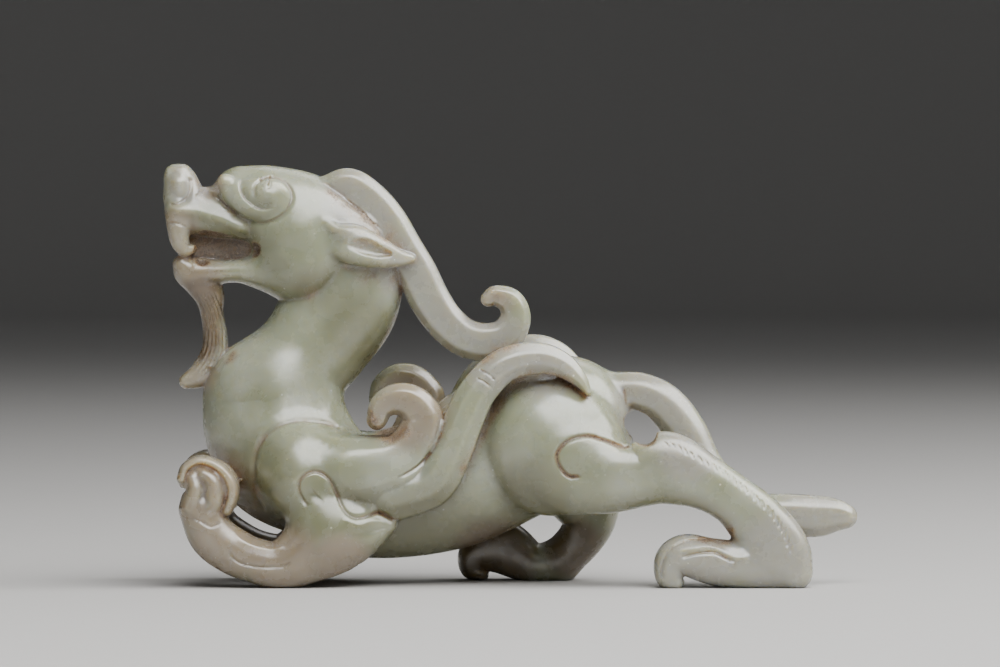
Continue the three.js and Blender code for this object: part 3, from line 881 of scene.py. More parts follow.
@dataclass
class Head:
    """The head, with its open mouth, ears, horn and beard."""

    def face(self) -> Form:
        """Returns the crown, cheeks, snout and jaw."""
        crown = Limb([
            (-19.8, 0, 42.9, 4.6, 5.6), (-25.4, 0, 45.5, 5.6, 6.2), (-30.0, 0, 47.4, 4.8, 5.7),
            (-33.5, 0, 48.3, 3.9, 5.0),
        ], 2.3)
        snout = Limb([
            (-33.6, 0, 46.5, 3.4, 4.6), (-37.3, 0, 46.5, 3.1, 3.9), (-40.2, 0, 47.1, 2.9, 3.6),
            (-41.2, 0, 50.3, 2.0, 3.0),
        ], 2.7)
        tip = Limb([
            (-41.0, 0, 51.7, 0.6, 2.3), (-42.45, 0, 51.6, 0.6, 2.3), (-42.4, 0, 50.0, 0.75, 2.8),
            (-42.2, 0, 48.4, 0.95, 3.1),
        ], 3)
        cheek = Limb([(-26.8, 0, 42.9, 5.4, 6.7), (-25.2, 0, 40.2, 5.2, 6.9)], 2.3)
        jaw = Limb([
            (-27.0, 0, 39.7, 4.2, 5.6), (-30.6, 0, 38.9, 2.3, 4.4), (-34.0, 0, 39.1, 1.5, 3.6),
            (-37.4, 0, 38.9, 1.6, 3.2), (-39.7, 0, 38.8, 2.1, 3.0), (-41.0, 0, 39.9, 1.25, 2.7),
        ], 2.5)
        return Meeting(
            {"crown": crown, "snout": snout, "tip": tip, "cheek": cheek, "jaw": jaw},
            {("crown", "snout"): CLOSE, ("snout", "tip"): CLOSE, ("crown", "cheek"): FLOWING,
             ("snout", "cheek"): FLOWING, ("cheek", "jaw"): FLOWING, ("crown", "jaw"): FLOWING})

    def lip(self) -> Form:
        """Returns the near lip, which hooks down over the mouth's front."""
        return Limb([
            (-41.3, -2.0, 46.2, 1.8, 1.9), (-41.4, -2.1, 44.2, 1.4, 1.8),
            (-41.2, -2.1, 42.7, 1.15, 1.7), (-40.6, -2.1, 41.8, 0.85, 1.5),
            (-39.6, -2.0, 41.9, 0.5, 1.1),
        ], 2.5)

    def features(self) -> Form:
        """Returns the near nostril, the brow that rolls round the eye, the eyeball and temple."""
        nostril = Limb([(-41.4, -1.9, 50.1, 1.2, 1.8), (-41.4, -1.9, 49.3, 1.2, 1.8)], 2.0)
        brow = Limb([
            (-35.4, -3.6, 50.1, 1.0, 1.4), (-34.4, -3.8, 49.0, 1.6, 1.7),
            (-32.6, -4.2, 48.2, 2.3, 1.9), (-30.6, -4.5, 48.1, 2.8, 2.0),
            (-29.7, -4.6, 48.3, 2.6, 2.0),
        ], 2.6)
        knob = Limb([(-35.6, -4.1, 50.4, 0.8, 1.1), (-35.3, -4.1, 50.3, 0.8, 1.1)], 2.0)
        eyeball = Limb([(-30.4, -5.2, 48.7, 1.3, 1.5), (-29.7, -5.2, 48.5, 1.35, 1.5)], 2.0)
        temple = Limb([
            (-24.6, -4.2, 46.6, 0.9, 1.2), (-22.9, -5.2, 45.2, 0.85, 1.2),
            (-21.5, -5.7, 44.4, 0.7, 1.2),
            (-18.9, -5.8, 44.0, 0.7, 1.2), (-16.5, -5.4, 42.7, 0.6, 1.2),
            (-14.2, -4.6, 41.2, 0.4, 1.2),
        ])
        return Joined(CRISP, nostril, Joined(CRISP, brow, knob, eyeball), temple)

    def mouth(self) -> Form:
        """Returns the hollow in each side of the face."""
        gape = Limb([
            (-37.6, -4.2, 42.4, 1.7, 2.9), (-36.2, -4.3, 42.4, 1.4, 2.7),
            (-35.0, -4.4, 42.4, 1.05, 2.6), (-33.9, -4.6, 42.2, 1.0, 2.5),
            (-32.2, -5.0, 41.7, 1.0, 2.2),
        ], 3)
        under = Limb([
            (-38.2, -4.2, 43.0, 1.15, 3.0), (-38.2, -4.2, 42.0, 1.25, 3.0),
            (-38.4, -4.2, 40.9, 1.2, 2.6),
        ], 3)
        return both_sides(Joined(0, gape, under))

    def palate(self) -> Form:
        """Returns the stone left between the two hollows, which is the floor of both."""
        return Limb([
            (-38.9, 0, 42.0, 2.2, 0.6), (-35.6, 0, 41.9, 2.2, 1.0), (-31.6, 0, 41.4, 2.2, 2.3),
        ])

    def ear(self) -> Form:
        """Returns the near ear, laid back."""
        leaf = Limb([
            (-23.6, -4.4, 43.2, 1.2, 1.2), (-21.7, -5.2, 42.8, 1.6, 1.5),
            (-19.6, -5.9, 42.3, 2.3, 1.7),
            (-16.7, -5.8, 41.5, 1.95, 1.7), (-14.1, -4.7, 40.8, 1.15, 1.7),
            (-12.3, -4.1, 40.7, 0.45, 1.3),
        ], 2.8)
        hollow = Limb([
            (-19.6, -7.9, 42.5, 0.75, 0.6), (-18.0, -7.8, 42.2, 1.05, 0.8),
            (-16.4, -7.5, 41.6, 0.75, 0.75), (-15.1, -6.8, 41.3, 0.35, 0.5),
        ], 2.2)
        return Carved(leaf, hollow, 0.25, dirt=0.3)

    def horn(self) -> Form:
        """Returns the horn, which flows back from the crown to the shoulders."""
        return Limb([
            (-22.4, 0, 49.0, 2.2, 3.3), (-20.2, 0, 49.5, 2.4, 3.6), (-17.8, 0, 48.0, 2.4, 3.6),
            (-15.6, 0, 45.4, 2.5, 3.5), (-13.6, 0, 42.0, 2.5, 3.5), (-11.7, 0, 38.8, 2.5, 3.4),
            (-10.2, 0, 35.7, 2.5, 3.4), (-8.3, 0, 32.9, 2.4, 3.4), (-5.8, 0, 30.8, 2.35, 3.4),
            (-3.0, 0, 30.2, 2.4, 3.4), (-0.6, 0, 31.0, 2.2, 3.3), (0.6, 0, 33.2, 1.9, 3.3),
            (0.0, 0, 35.2, 1.65, 3.2), (-1.8, 0, 36.0, 1.25, 3.1), (-2.8, 0, 35.6, 0.95, 3.0),
        ], 8, chamfer=1.5, slant=0.8)

    def beard(self) -> Form:
        """Returns the beard, which hangs from the chin to the breast, with its hair."""
        lock = Limb([
            (-38.8, 0, 38.0, 2.2, 2.7), (-37.7, 0, 36.2, 1.9, 2.5), (-37.35, 0, 34.0, 1.45, 2.4),
            (-36.95, 0, 31.1, 1.5, 2.4), (-37.1, 0, 28.6, 1.7, 2.4),
            (-38.5, 0, 26.3, 1.65, 2.3), (-40.5, 0, 25.3, 0.95, 2.0),
        ], 2.8)
        first = np.array([
            (-39.4, 36.5), (-38.2, 34.0), (-37.8, 31.2), (-38.2, 28.9), (-39.7, 26.5),
        ])
        last = np.array([
            (-37.0, 36.8), (-35.8, 33.6), (-35.4, 31.0), (-35.7, 28.0), (-37.6, 25.2),
        ])
        hairs = [
            Line((first + (last - first) * share).tolist(), depth=0.14, left=0.12, right=0.12,
                 beyond=0.9, stain=0.25)
            for share in np.linspace(0, 1, 6)
        ]
        return Incised(lock, *hairs)

    def lines(self) -> list[Line]:
        """Returns the lines cut into the face."""
        scroll = [(-36.7, 48.6), (-35.7, 47.5), (-34.6, 46.7), (-33.5, 45.9), (-32.1, 45.3),
                  (-30.6, 45.2), (-29.3, 45.6), (-28.1, 46.4), (-27.4, 47.5), (-27.2, 48.4),
                  (-27.5, 49.3), (-28.1, 50.0), (-28.8, 50.4), (-29.7, 50.6), (-30.7, 50.5),
                  (-31.4, 50.0), (-31.75, 49.3), (-31.75, 48.6), (-31.4, 48.1)]
        lid = [(-33.4, 51.0), (-33.6, 50.2), (-33.6, 49.3), (-33.2, 48.4), (-32.4, 47.6),
               (-31.5, 47.0), (-30.5, 46.9), (-29.3, 47.1)]
        nostril = [(-40.1, 50.9), (-39.9, 49.6), (-40.3, 48.3), (-41.4, 47.5), (-42.6, 47.4)]
        muzzle = [(-42.7, 46.7), (-40.6, 46.8), (-38.4, 46.3), (-35.2, 45.2), (-32.4, 44.0)]
        return [
            Line(scroll, depth=0.27, left=0.16, right=0.3, stain=0.15),
            Line(lid, depth=0.4, left=0.7, right=0.1, beyond=4.5, taper=1.2, stain=0.0),
            Line([(-31.4, 45.0), (-33.2, 45.4), (-35.0, 46.9), (-36.9, 48.4), (-38.8, 49.6)],
                 depth=0.4, left=0.8, right=0.35, taper=1.5, stain=0.35),
            Line(nostril, depth=0.3, left=0.35, right=0.18, beyond=1.0, taper=0.6, stain=0.35),
            Line(muzzle, depth=-0.4, left=0.8, right=0.75, beyond=2.0, taper=1.2, stain=0),
            Line([(-42.9, 45.4), (-42.0, 45.2), (-41.0, 44.9), (-40.2, 44.5)],
                 depth=0.12, left=0.14, right=0.25, beyond=2.2, taper=0.6, stain=0.4),
            Line([(-23.6, 50.6), (-22.7, 49.9), (-21.7, 49.1), (-20.7, 48.5), (-19.8, 47.5),
                  (-18.6, 46.6), (-17.9, 45.8), (-17.0, 44.9), (-15.9, 44.4), (-15.4, 43.9),
                  (-14.5, 43.0), (-13.6, 42.3), (-12.4, 41.9)],
                 depth=0.26, left=0.16, right=0.4, stain=0.6),
        ]

    def form(self) -> Form:
        """Returns the head without its horn."""
        features = both_sides(self.features())
        whole = Joined(CRISP, Joined(CLOSE, self.face(), both_sides(self.lip())), features)
        whole = Joined(CLOSE, whole, both_sides(self.ear()))
        dressed = Incised(whole, *self.lines())
        # The mouth's walls and palate are stained dark: the earth in its pits, and painted shade in
        # its depth.
        face = Carved(dressed, self.mouth(), 0.12, dirt=1.0)
        return Joined(CRISP, face, Stained(self.palate(), 1.0), self.beard())


def flanks() -> Form:
    """Returns the trunk with the legs and wings of both sides flowing into it."""
    leg = FrontLeg()
    near, far = Wing(), Wing(FAR_WING_LIFT, FAR_CURL_LIFT)
    forms = {
        "trunk": Trunk().form(),
        "stretched": StretchedLeg().form(),
        "tucked": Mirrored(TuckedLeg().form()),
        "tail": Trunk().tail(),
    }
    blends = {(a, b): CLOSE for a, b in (
        ("trunk", "stretched"), ("trunk", "tucked"), ("trunk", "tail"), ("stretched", "tail"),
    )}
    for side, wing in (("near", near), ("far", far)):
        shoulder, arm, curl, plume = (f"{side}_{n}" for n in ("shoulder", "arm", "curl", "plume"))
        parts = {shoulder: leg.shoulder(), arm: leg.forearm(),
                 curl: wing.curl(), plume: wing.plume()}
        for name, part in parts.items():
            forms[name] = Mirrored(part) if side == "far" else part
        blends |= {
            (shoulder, "trunk"): FLOWING, (shoulder, arm): FLOWING, (shoulder, curl): FLOWING,
            (shoulder, plume): SOFT, (plume, curl): CRISP, (arm, "trunk"): CRISP,
            (curl, "trunk"): CRISP, (plume, "trunk"): CRISP, (plume, "tail"): CRISP,
        }
    thigh = [(8.9, 13.9), (7.2, 13.9), (6.1, 15.0), (5.7, 16.4), (6.4, 17.7), (7.7, 18.5),
             (9.6, 18.8), (11.7, 18.2), (13.6, 17.5), (15.2, 17.3)]
    return Incised(
        Meeting(forms, blends),
        Line(thigh, depth=0.36, left=0.24, right=0.2, beyond=9.5, stain=0.85),
        near.crease(),
        *leg.lines(),
    )


def earth() -> list[Line]:
    """Returns the seams where earth has stayed, which cut nothing."""
    seams = (
        ([(-18.0, 23.4), (-17.4, 20.9), (-16.0, 19.2), (-14.4, 18.7), (-13.0, 19.3), (-12.6, 21.0)],
         0.7, 0.85),
        ([(-22.0, 40.4), (-19.0, 38.7), (-15.5, 38.3), (-13.0, 39.2)], 1.1, 0.4),
        ([(-36.2, 27.2), (-34.9, 28.4), (-33.4, 29.6)], 0.6, 0.7),
        ([(-27.0, 35.8), (-24.9, 36.3), (-23.4, 37.4)], 0.7, 0.5),
        ([(-14.0, 34.5), (-15.8, 29.5), (-17.9, 25.6)], 0.45, 0.45),
        ([(-32.8, 9.4), (-31.6, 10.8), (-31.9, 13.5)], 0.6, 0.6),
        ([(-39.8, 51.2), (-38.2, 50.0), (-36.8, 49.2)], 0.6, 0.5),
        ([(-23.2, 50.2), (-19.9, 46.9), (-16.7, 44.3), (-13.0, 42.1)], 0.75, 0.6),
        ([(-4.8, 27.6), (-1.5, 29.2), (1.9, 30.6)], 0.5, 0.6),
        ([(8.5, 24.6), (4.9, 26.3), (1.3, 25.8), (-1.0, 23.3), (-2.8, 20.1), (-4.6, 16.5),
          (-6.6, 13.3)], 0.45, 0.65),
    )
    return [
        Line(points, depth=0.0, left=reach, right=reach, beyond=0.5, taper=1.5, stain=stain)
        for points, reach, stain in seams
    ]


def beast() -> Form:
    """Returns the whole beast, standing on ground that cuts its feet flat."""
    hole = Limb([
        (15.5, 0, 20.3, 1.4, 20), (16.1, 0, 19.7, 1.65, 20), (16.6, 0, 19.1, 1.5, 20),
    ], 6)
    whole = Incised(Joined(CRISP, flanks(), Head().form(), Head().horn()), *earth())
    return Carved(Carved(whole, hole, 0.3, dirt=0.6), Ground(), 0.2)


@dataclass(frozen=True)
class Zone:
    """A round patch of the flank, in the side view, where the stone has another tint. The deep
    patches, and the umber ones on the far paws, carry painted shade instead.

    Attributes:
        x: Its centre.
        z: The centre's height.
        reach: How far the tint reaches, in mm; it fades out over the outer half.
    """

    x: float
    z: float
    reach: float

    @staticmethod
    def over(zones: tuple["Zone", ...], p: Array) -> Array:
        """Adds the zones up.

        Args:
            zones: The zones of one tint.
            p: The points, one a row.

        Returns:
            How much of the tint each point has, from 0 to 1.
        """
        most = np.zeros(len(p), np.float32)
        for zone in zones:
            away = np.hypot(p[:, 0] - zone.x, p[:, 2] - zone.z)
            np.maximum(most, smooth_step(2 * (1 - away / zone.reach)), out=most)
        return most


class Tint(Enum):
    """The tints that patches of the stone have, each with the name it is kept under.

    Umber is the beard's brown and painted shade on the far paws; the deep patches are painted
    shade where the light falls least.
    """

    TAN = "tan"
    GREY = "grey"
    UMBER = "umber"
    DEEP = "deep"


TINTED = {
    Tint.TAN: (
        Zone(-38, 12, 7), Zone(-35, 6, 7), Zone(-28, 3, 6.5), Zone(-21, 3, 5),
        Zone(-39.5, 39, 5), Zone(-40, 27, 4.5), Zone(-42, 43.5, 4.5), Zone(-12.5, 22, 6.5),
        Zone(-38, 50, 3), Zone(-3, 35, 4),
    ),
    Tint.GREY: (
        Zone(-18, 48, 7), Zone(-12, 40, 6), Zone(-8, 33, 6), Zone(-2, 29, 6), Zone(4, 28, 6),
        Zone(18, 23, 7), Zone(22, 17, 5), Zone(39, 9, 8), Zone(23, 4, 8), Zone(33, 4, 7),
        Zone(-40, 50, 4),
    ),
    # The beard's brown, and painted shade on the far tucked paws.
    Tint.UMBER: (
        Zone(-38.5, 35, 4.6), Zone(-38.7, 31, 4), Zone(-2, 3, 7), Zone(8, 4, 5),
    ),
    # Painted shade: darker patches where the light falls least, on the elbow, forearm, belly, chest
    # and neck.
    Tint.DEEP: (
        Zone(-22, 8, 8), Zone(-29, 5, 6), Zone(-10, 7, 9), Zone(-19, 32, 6), Zone(-31, 15, 6),
        Zone(3, 12, 6), Zone(-24, 37, 4),
    ),
}


# ---------------------------------------------------------------------------------------------
# From field to mesh
# ---------------------------------------------------------------------------------------------

CORNERS = np.array([(i & 1, (i >> 1) & 1, (i >> 2) & 1) for i in range(8)])
EDGES = [(a, a | bit) for a in range(8) for bit in (1, 2, 4) if not a & bit]


def evaluated(function: Callable[[Array], Array], p: Array) -> Array:
    """Works a function out in chunks on several threads.

    Args:
        function: Takes points as three rows, and returns a value for each.
        p: The points, one a row.

    Returns:
        The function's values.
    """
    p = np.ascontiguousarray(np.asarray(p, np.float32).T)
    chunks = [p[:, i:i + CHUNK] for i in range(0, p.shape[1], CHUNK)]
    with ThreadPoolExecutor(WORKERS) as pool:
        return np.concatenate(list(pool.map(function, chunks)))


def gradient(form: Form, p: Array, step: float) -> Array:
    """Measures how the field grows.

    Args:
        form: The field.
        p: The points, one a row.
        step: How far to each side the field is read, in mm.

    Returns:
        The slope in x, y and z at each point.
    """
    columns = []
    for axis in range(3):
        shift = np.zeros(3, np.float32)
        shift[axis] = step
        columns.append(evaluated(form.at, p + shift) - evaluated(form.at, p - shift))
    return np.stack(columns, 1) / (2 * step)


def unit(vectors: Array) -> Array:
    """Returns each row at a length of 1."""
    return vectors / np.maximum(np.linalg.norm(vectors, axis=1, keepdims=True), TINY)


def is_simple(mask: int) -> bool:
    """Says whether a cell can hold one vertex.

    Args:
        mask: Which of the cell's corners are inside, one bit for each.

    Returns:
        True if its inside corners hang together, its outside corners do, and no face has its
        insides on opposite corners.
    """
    def one_group(value: int) -> bool:
        """Says whether the corners with this bit hang together along the cell's edges."""
        members = [i for i in range(8) if (mask >> i) & 1 == value]
        reached = set(members[:1])
        for _ in range(8):
            for a, b in EDGES:
                if a in members and b in members and (a in reached or b in reached):
                    reached |= {a, b}
        return len(reached) == len(members)

    for axis in (1, 2, 4):
        u, v = [bit for bit in (1, 2, 4) if bit != axis]
        for side in (0, axis):
            a, b, c, d = [(mask >> i) & 1 for i in (side, side | u, side | u | v, side | v)]
            if a == c and b == d and a != b:
                return False
    return one_group(0) and one_group(1)


class SurfaceNet:
    """A net over a field's surface, with one vertex in each cell that the surface crosses."""

    def __init__(self, form: Form, cell: float) -> None:
        """Finds the cells near the surface.

        Args:
            form: The field.
            cell: The side of the net's cells, in mm.
        """
        self.form, self.cell = form, cell
        coarse = cell * 2**COARSE_STEPS
        self.origin = (form.lo - 2 * coarse).astype(np.float32)
        self.origin[2] = -2 * coarse
        counts = np.ceil((form.hi + 2 * coarse - self.origin) / coarse).astype(int)
        cells = np.stack(np.meshgrid(*map(np.arange, counts), indexing="ij"), -1).reshape(-1, 3)
        self.size = counts * 2**COARSE_STEPS + 1
        for level in range(COARSE_STEPS):
            side = coarse / 2**level
            value = evaluated(form.at, self.origin + (cells + 0.5) * side)
            cells = cells[np.abs(value) < side * NET_MARGIN + cell]
            cells = (cells[:, None] * 2 + CORNERS).reshape(-1, 3)
        self.cells = cells

    def keys(self, index: Array) -> Array:
        """Returns one number for each row of grid indices."""
        nx, ny, _ = self.size
        return index[..., 0] + nx * (index[..., 1] + ny * index[..., 2])

    def build(self) -> tuple[Array, Array]:
        """Returns the net's vertices and its triangles."""
        corner_keys = self.keys(self.cells[:, None] + CORNERS)
        points, inverse = np.unique(corner_keys, return_inverse=True)
        inverse = inverse.reshape(corner_keys.shape)
        nx, ny, _ = self.size
        grid = np.stack([points % nx, points // nx % ny, points // (nx * ny)], 1)
        values = evaluated(self.form.at, self.origin + grid * self.cell)
        simple = np.array([is_simple(m) for m in range(256)])
        bits = 1 << np.arange(8)
        while True:
            masks = ((values[inverse] < 0) * bits).sum(1)
            broken = ~simple[masks]
            if not broken.any():
                break
            filled = np.unique(inverse[broken])
            within = BARELY_INSIDE * self.cell
            values[filled] = np.where(values[filled] >= 0, within, values[filled])
        crossed = (masks != 0) & (masks != 255)
        cells, inverse, masks = self.cells[crossed], inverse[crossed], masks[crossed]
        total = np.zeros((len(cells), 3))
        count = np.zeros(len(cells))
        for a, b in EDGES:
            rows = np.flatnonzero(((masks >> a) & 1) != ((masks >> b) & 1))
            va, vb = values[inverse[rows, a]], values[inverse[rows, b]]
            share = (va / (va - vb))[:, None]
            total[rows] += CORNERS[a] + share * (CORNERS[b] - CORNERS[a])
            count[rows] += 1
        vertices = self.origin + (cells + total / count[:, None]) * self.cell
        return vertices, self.triangles(points, values, cells, vertices)

    def triangles(self, points: Array, values: Array, cells: Array, vertices: Array) -> Array:
        """Lays triangles round every edge of the grid that the surface crosses.

        Args:
            points: The keys of the grid's points, in order.
            values: The field at each.
            cells: The cells that hold a vertex.
            vertices: Their vertices.

        Returns:
            Rows of three indices of vertices.
        """
        cell_keys = self.keys(cells)
        order = np.argsort(cell_keys)
        cell_keys = cell_keys[order]
        nx, ny, _ = self.size
        steps = np.array([1, nx, nx * ny])
        found = []
        for axis in range(3):
            u, v = steps[(axis + 1) % 3], steps[(axis + 2) % 3]
            other = np.searchsorted(points, points + steps[axis])
            other = np.minimum(other, len(points) - 1)
            linked = points[other] == points + steps[axis]
            inside = values < 0
            rows = np.flatnonzero(linked & (inside != inside[other]))
            ring = points[rows, None] - np.array([0, u, u + v, v])
            place = np.minimum(np.searchsorted(cell_keys, ring), len(cell_keys) - 1)
            whole = (cell_keys[place] == ring).all(1)
            if not whole.all():
                LOG.warning("%d edges of the net have no ring", (~whole).sum())
            ring, rows = order[place[whole]], rows[whole]
            flip = ~inside[rows]
            ring[flip] = ring[flip, ::-1]
            p, q, r, s = (vertices[ring[:, i]] for i in range(4))
            across = ((p - r) ** 2).sum(1) < ((q - s) ** 2).sum(1)
            turned = np.where(across[:, None], ring, np.roll(ring, -1, axis=1))
            found += [turned[:, [0, 1, 2]], turned[:, [0, 2, 3]]]
        return np.concatenate(found)


def mesh_from(vertices: Array, triangles: Array, name: str) -> bpy.types.Mesh:
    """Makes a Blender mesh.

    Args:
        vertices: The vertices, one a row.
        triangles: Rows of three indices of vertices.
        name: The mesh's name.

    Returns:
        The mesh.
    """
    mesh = bpy.data.meshes.new(name)
    mesh.vertices.add(len(vertices))
    mesh.vertices.foreach_set("co", np.asarray(vertices, np.float32).ravel())
    mesh.loops.add(triangles.size)
    mesh.loops.foreach_set("vertex_index", triangles.astype(np.int32).ravel())
    mesh.polygons.add(len(triangles))
    mesh.polygons.foreach_set("loop_start", np.arange(0, triangles.size, 3, dtype=np.int32))
    mesh.update(calc_edges=True)
    return mesh


def thinned(mesh: bpy.types.Mesh, most: int) -> bpy.types.Mesh:
    """Takes triangles out where the surface is nearly flat.

    Args:
        mesh: The mesh, which is used up.
        most: How many triangles may stay.

    Returns:
        The lighter mesh, or the same one if it was light enough.
    """
    if len(mesh.polygons) <= most:
        return mesh
    carrier = bpy.data.objects.new("carrier", mesh)
    bpy.context.scene.collection.objects.link(carrier)
    fewer = carrier.modifiers.new("fewer", "DECIMATE")
    fewer.ratio = most / len(mesh.polygons)
    carried = carrier.evaluated_get(bpy.context.evaluated_depsgraph_get())
    result = bpy.data.meshes.new_from_object(carried)
    bpy.data.objects.remove(carrier)
    bpy.data.meshes.remove(mesh)
    return result


def places(mesh: bpy.types.Mesh) -> Array:
    """Returns the mesh's vertices, one a row."""
    co = np.empty(len(mesh.vertices) * 3, np.float32)
    mesh.vertices.foreach_get("co", co)
    return co.reshape(-1, 3)


@dataclass
class Carving:
    """The stone: its mesh, and what the field says about each point of its surface.

    Attributes:
        cell: The side of the net's cells, in mm.
    """

    cell: float

    def build(self) -> bpy.types.Object:
        """Returns the stone as an object in the frame, in metres."""
        form = beast()
        vertices, triangles = SurfaceNet(form, self.cell).build()
        LOG.info("net: %d vertices, %d triangles", len(vertices), len(triangles))
        mesh = thinned(mesh_from(vertices, triangles, NODE), MOST_TRIANGLES)
        p = self.onto(form, places(mesh))
        normals = unit(gradient(form, p, PROBE))
        self.annotate(mesh, form, p, normals)
        low, high = (np.array(corner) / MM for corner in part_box(NODE))
        p[:, :2] += ((low + high) / 2 - (p.min(0) + p.max(0)) / 2)[:2]
        mesh.vertices.foreach_set("co", (p * MM).astype(np.float32).ravel())
        mesh.shade_smooth()
        mesh.normals_split_custom_set_from_vertices(normals)
        mesh.update()
        stone = bpy.data.objects.new("carved_beast", mesh)
        bpy.context.scene.collection.objects.link(stone)
        return stone

    def onto(self, form: Form, p: Array) -> Array:
        """Moves points onto the field's surface.

        Args:
            form: The field.
            p: The points, one a row.

        Returns:
            The moved points, none of them further than a cell away.
        """
        start = p
        for _ in range(MOVES):
            slope = gradient(form, p, PROBE)
            value = evaluated(form.at, p)
            p = p - slope * (value / np.maximum((slope**2).sum(1), 0.25))[:, None]
        move = p - start
        length = np.maximum(np.linalg.norm(move, axis=1, keepdims=True), TINY)
        p = start + move * np.minimum(1, self.cell / length)
        p[:, 2] = np.maximum(p[:, 2], 0)
        return p.astype(np.float32)

    def annotate(self, mesh: bpy.types.Mesh, form: Form, p: Array, normals: Array) -> None:
        """Stores on the mesh how folded, hollow, thin, stained and tinted the stone is. Hollows,
        faces that turn down and deep patches carry painted shade; thin stone gets a painted glow.

        Args:
            mesh: The mesh.
            form: The field.
            p: The mesh's vertices, in mm.
            normals: The surface's normal at each.
        """
        def room(reach: float) -> Array:
            """Returns the field so far out from each vertex, as a share of the way."""
            return evaluated(form.at, p + normals * reach) / reach

        near, further = map(room, FOLD_REACHES)
        layers = {
            "fold": np.clip(1 - 0.5 * (near + further), 0, 1),
            # Painted shade: the more shut in the surface is, the darker olive it turns.
            "hollow": np.clip(1 - room(HOLLOW_REACH), 0, 1),
            # Painted glow: the thinner the stone, the paler it is made.
            "thin": np.clip(1 - room(-THIN_REACH), 0, 1),
            # Painted shade: faces that turn down are darkened.
            "under": smooth_step(0.2 - normals[:, 2]),
            "stain": evaluated(form.stain, p),
        }
        layers |= {tint.value: Zone.over(zones, p) for tint, zones in TINTED.items()}
        for name, values in layers.items():
            LOG.info("%s: %s", name, np.percentile(values, [5, 50, 95]).round(2))
            layer = mesh.attributes.new(name, "FLOAT", "POINT")
            layer.data.foreach_set("value", values.astype(np.float32))


# ---------------------------------------------------------------------------------------------
# Jade
# ---------------------------------------------------------------------------------------------

class Graph:
    """A short way to write a material's nodes."""

    def __init__(self, name: str) -> None:
        """Makes a material of that name."""
        self.material = bpy.data.materials.new(name)
        self.material.use_nodes = True
        self.tree = self.material.node_tree
        self.shader = self.tree.nodes["Principled BSDF"]

    def put(self, socket: Socket, value: Any) -> None:
        """Gives a socket its value.

        Args:
            socket: The socket.
            value: Another socket, which is linked to it, or what it is set to.
        """
        if isinstance(value, Socket):
            self.tree.links.new(value, socket)
        elif isinstance(value, tuple) and len(value) == 3 and socket.type == "RGBA":
            socket.default_value = (*value, 1)
        else:
            socket.default_value = value

    def node(self, kind: str, inputs: dict | None = None, **settings: Any) -> bpy.types.Node:
        """Adds a node.

        Args:
            kind: Its type, without the words that every shader node's type starts with.
            inputs: Its inputs, by name or number.
            settings: Its other settings.

        Returns:
            The node.
        """
        node = self.tree.nodes.new("ShaderNode" + kind)
        for name, value in settings.items():
            setattr(node, name, value)
        for name, value in (inputs or {}).items():
            self.put(node.inputs[name], value)
        return node

    def maths(self, operation: str, *values: Any) -> Socket:
        """Adds a sum.

        Args:
            operation: What is done.
            values: The numbers or sockets that it is done to.

        Returns:
            The result.
        """
        node = self.node("Math", operation=operation)
        for socket, value in zip(node.inputs, values):
            self.put(socket, value)
        return node.outputs[0]

    def times(self, first: Socket, second: Any) -> Socket:
        """Returns the product of two numbers."""
        return self.maths("MULTIPLY", first, second)

    def ramp(
        self, value: Socket, low: float, high: float, to_low: float = 0.0, to_high: float = 1.0,
    ) -> Socket:
        """Moves a value smoothly from one range to another, and holds it there.

        Args:
            value: The value.
            low: Where the first range starts.
            high: Where it ends.
            to_low: Where the other starts.
            to_high: Where it ends.

        Returns:
            The moved value.
        """
        limits = {"From Min": low, "From Max": high, "To Min": to_low, "To Max": to_high}
        return self.node(
            "MapRange", {"Value": value, **limits}, interpolation_type="SMOOTHSTEP"
        ).outputs[0]

    def mix(self, share: Socket, first: Any, second: Any) -> Socket:
        """Returns a colour between two."""
        # The node's other sockets of these names are for numbers.
        return self.node("Mix", {0: share, 6: first, 7: second}, data_type="RGBA").outputs[2]

    def noise(
        self, where: Socket, size: float, detail: float = 3.0, roughness: float = 0.55,
    ) -> Socket:
        """Adds noise.

        Args:
            where: The place it is read at.
            size: How large its lumps are, in metres.
            detail: How many finer noises are laid over it.
            roughness: How much they count.

        Returns:
            The noise, from 0 to 1.
        """
        settings = {"Scale": 1 / size, "Detail": detail, "Roughness": roughness}
        return self.node("TexNoise", {"Vector": where, **settings}).outputs[0]

    def shifted(self, where: Socket, by: float) -> Socket:
        """Returns the place moved by so many metres each way, for noise that is its own."""
        return self.node("VectorMath", {0: where, 1: (by, by, by)}, operation="ADD").outputs[0]

    def attribute(self, name: str) -> Socket:
        """Returns a number that is kept on the mesh."""
        return self.node("Attribute", attribute_name=name).outputs["Fac"]


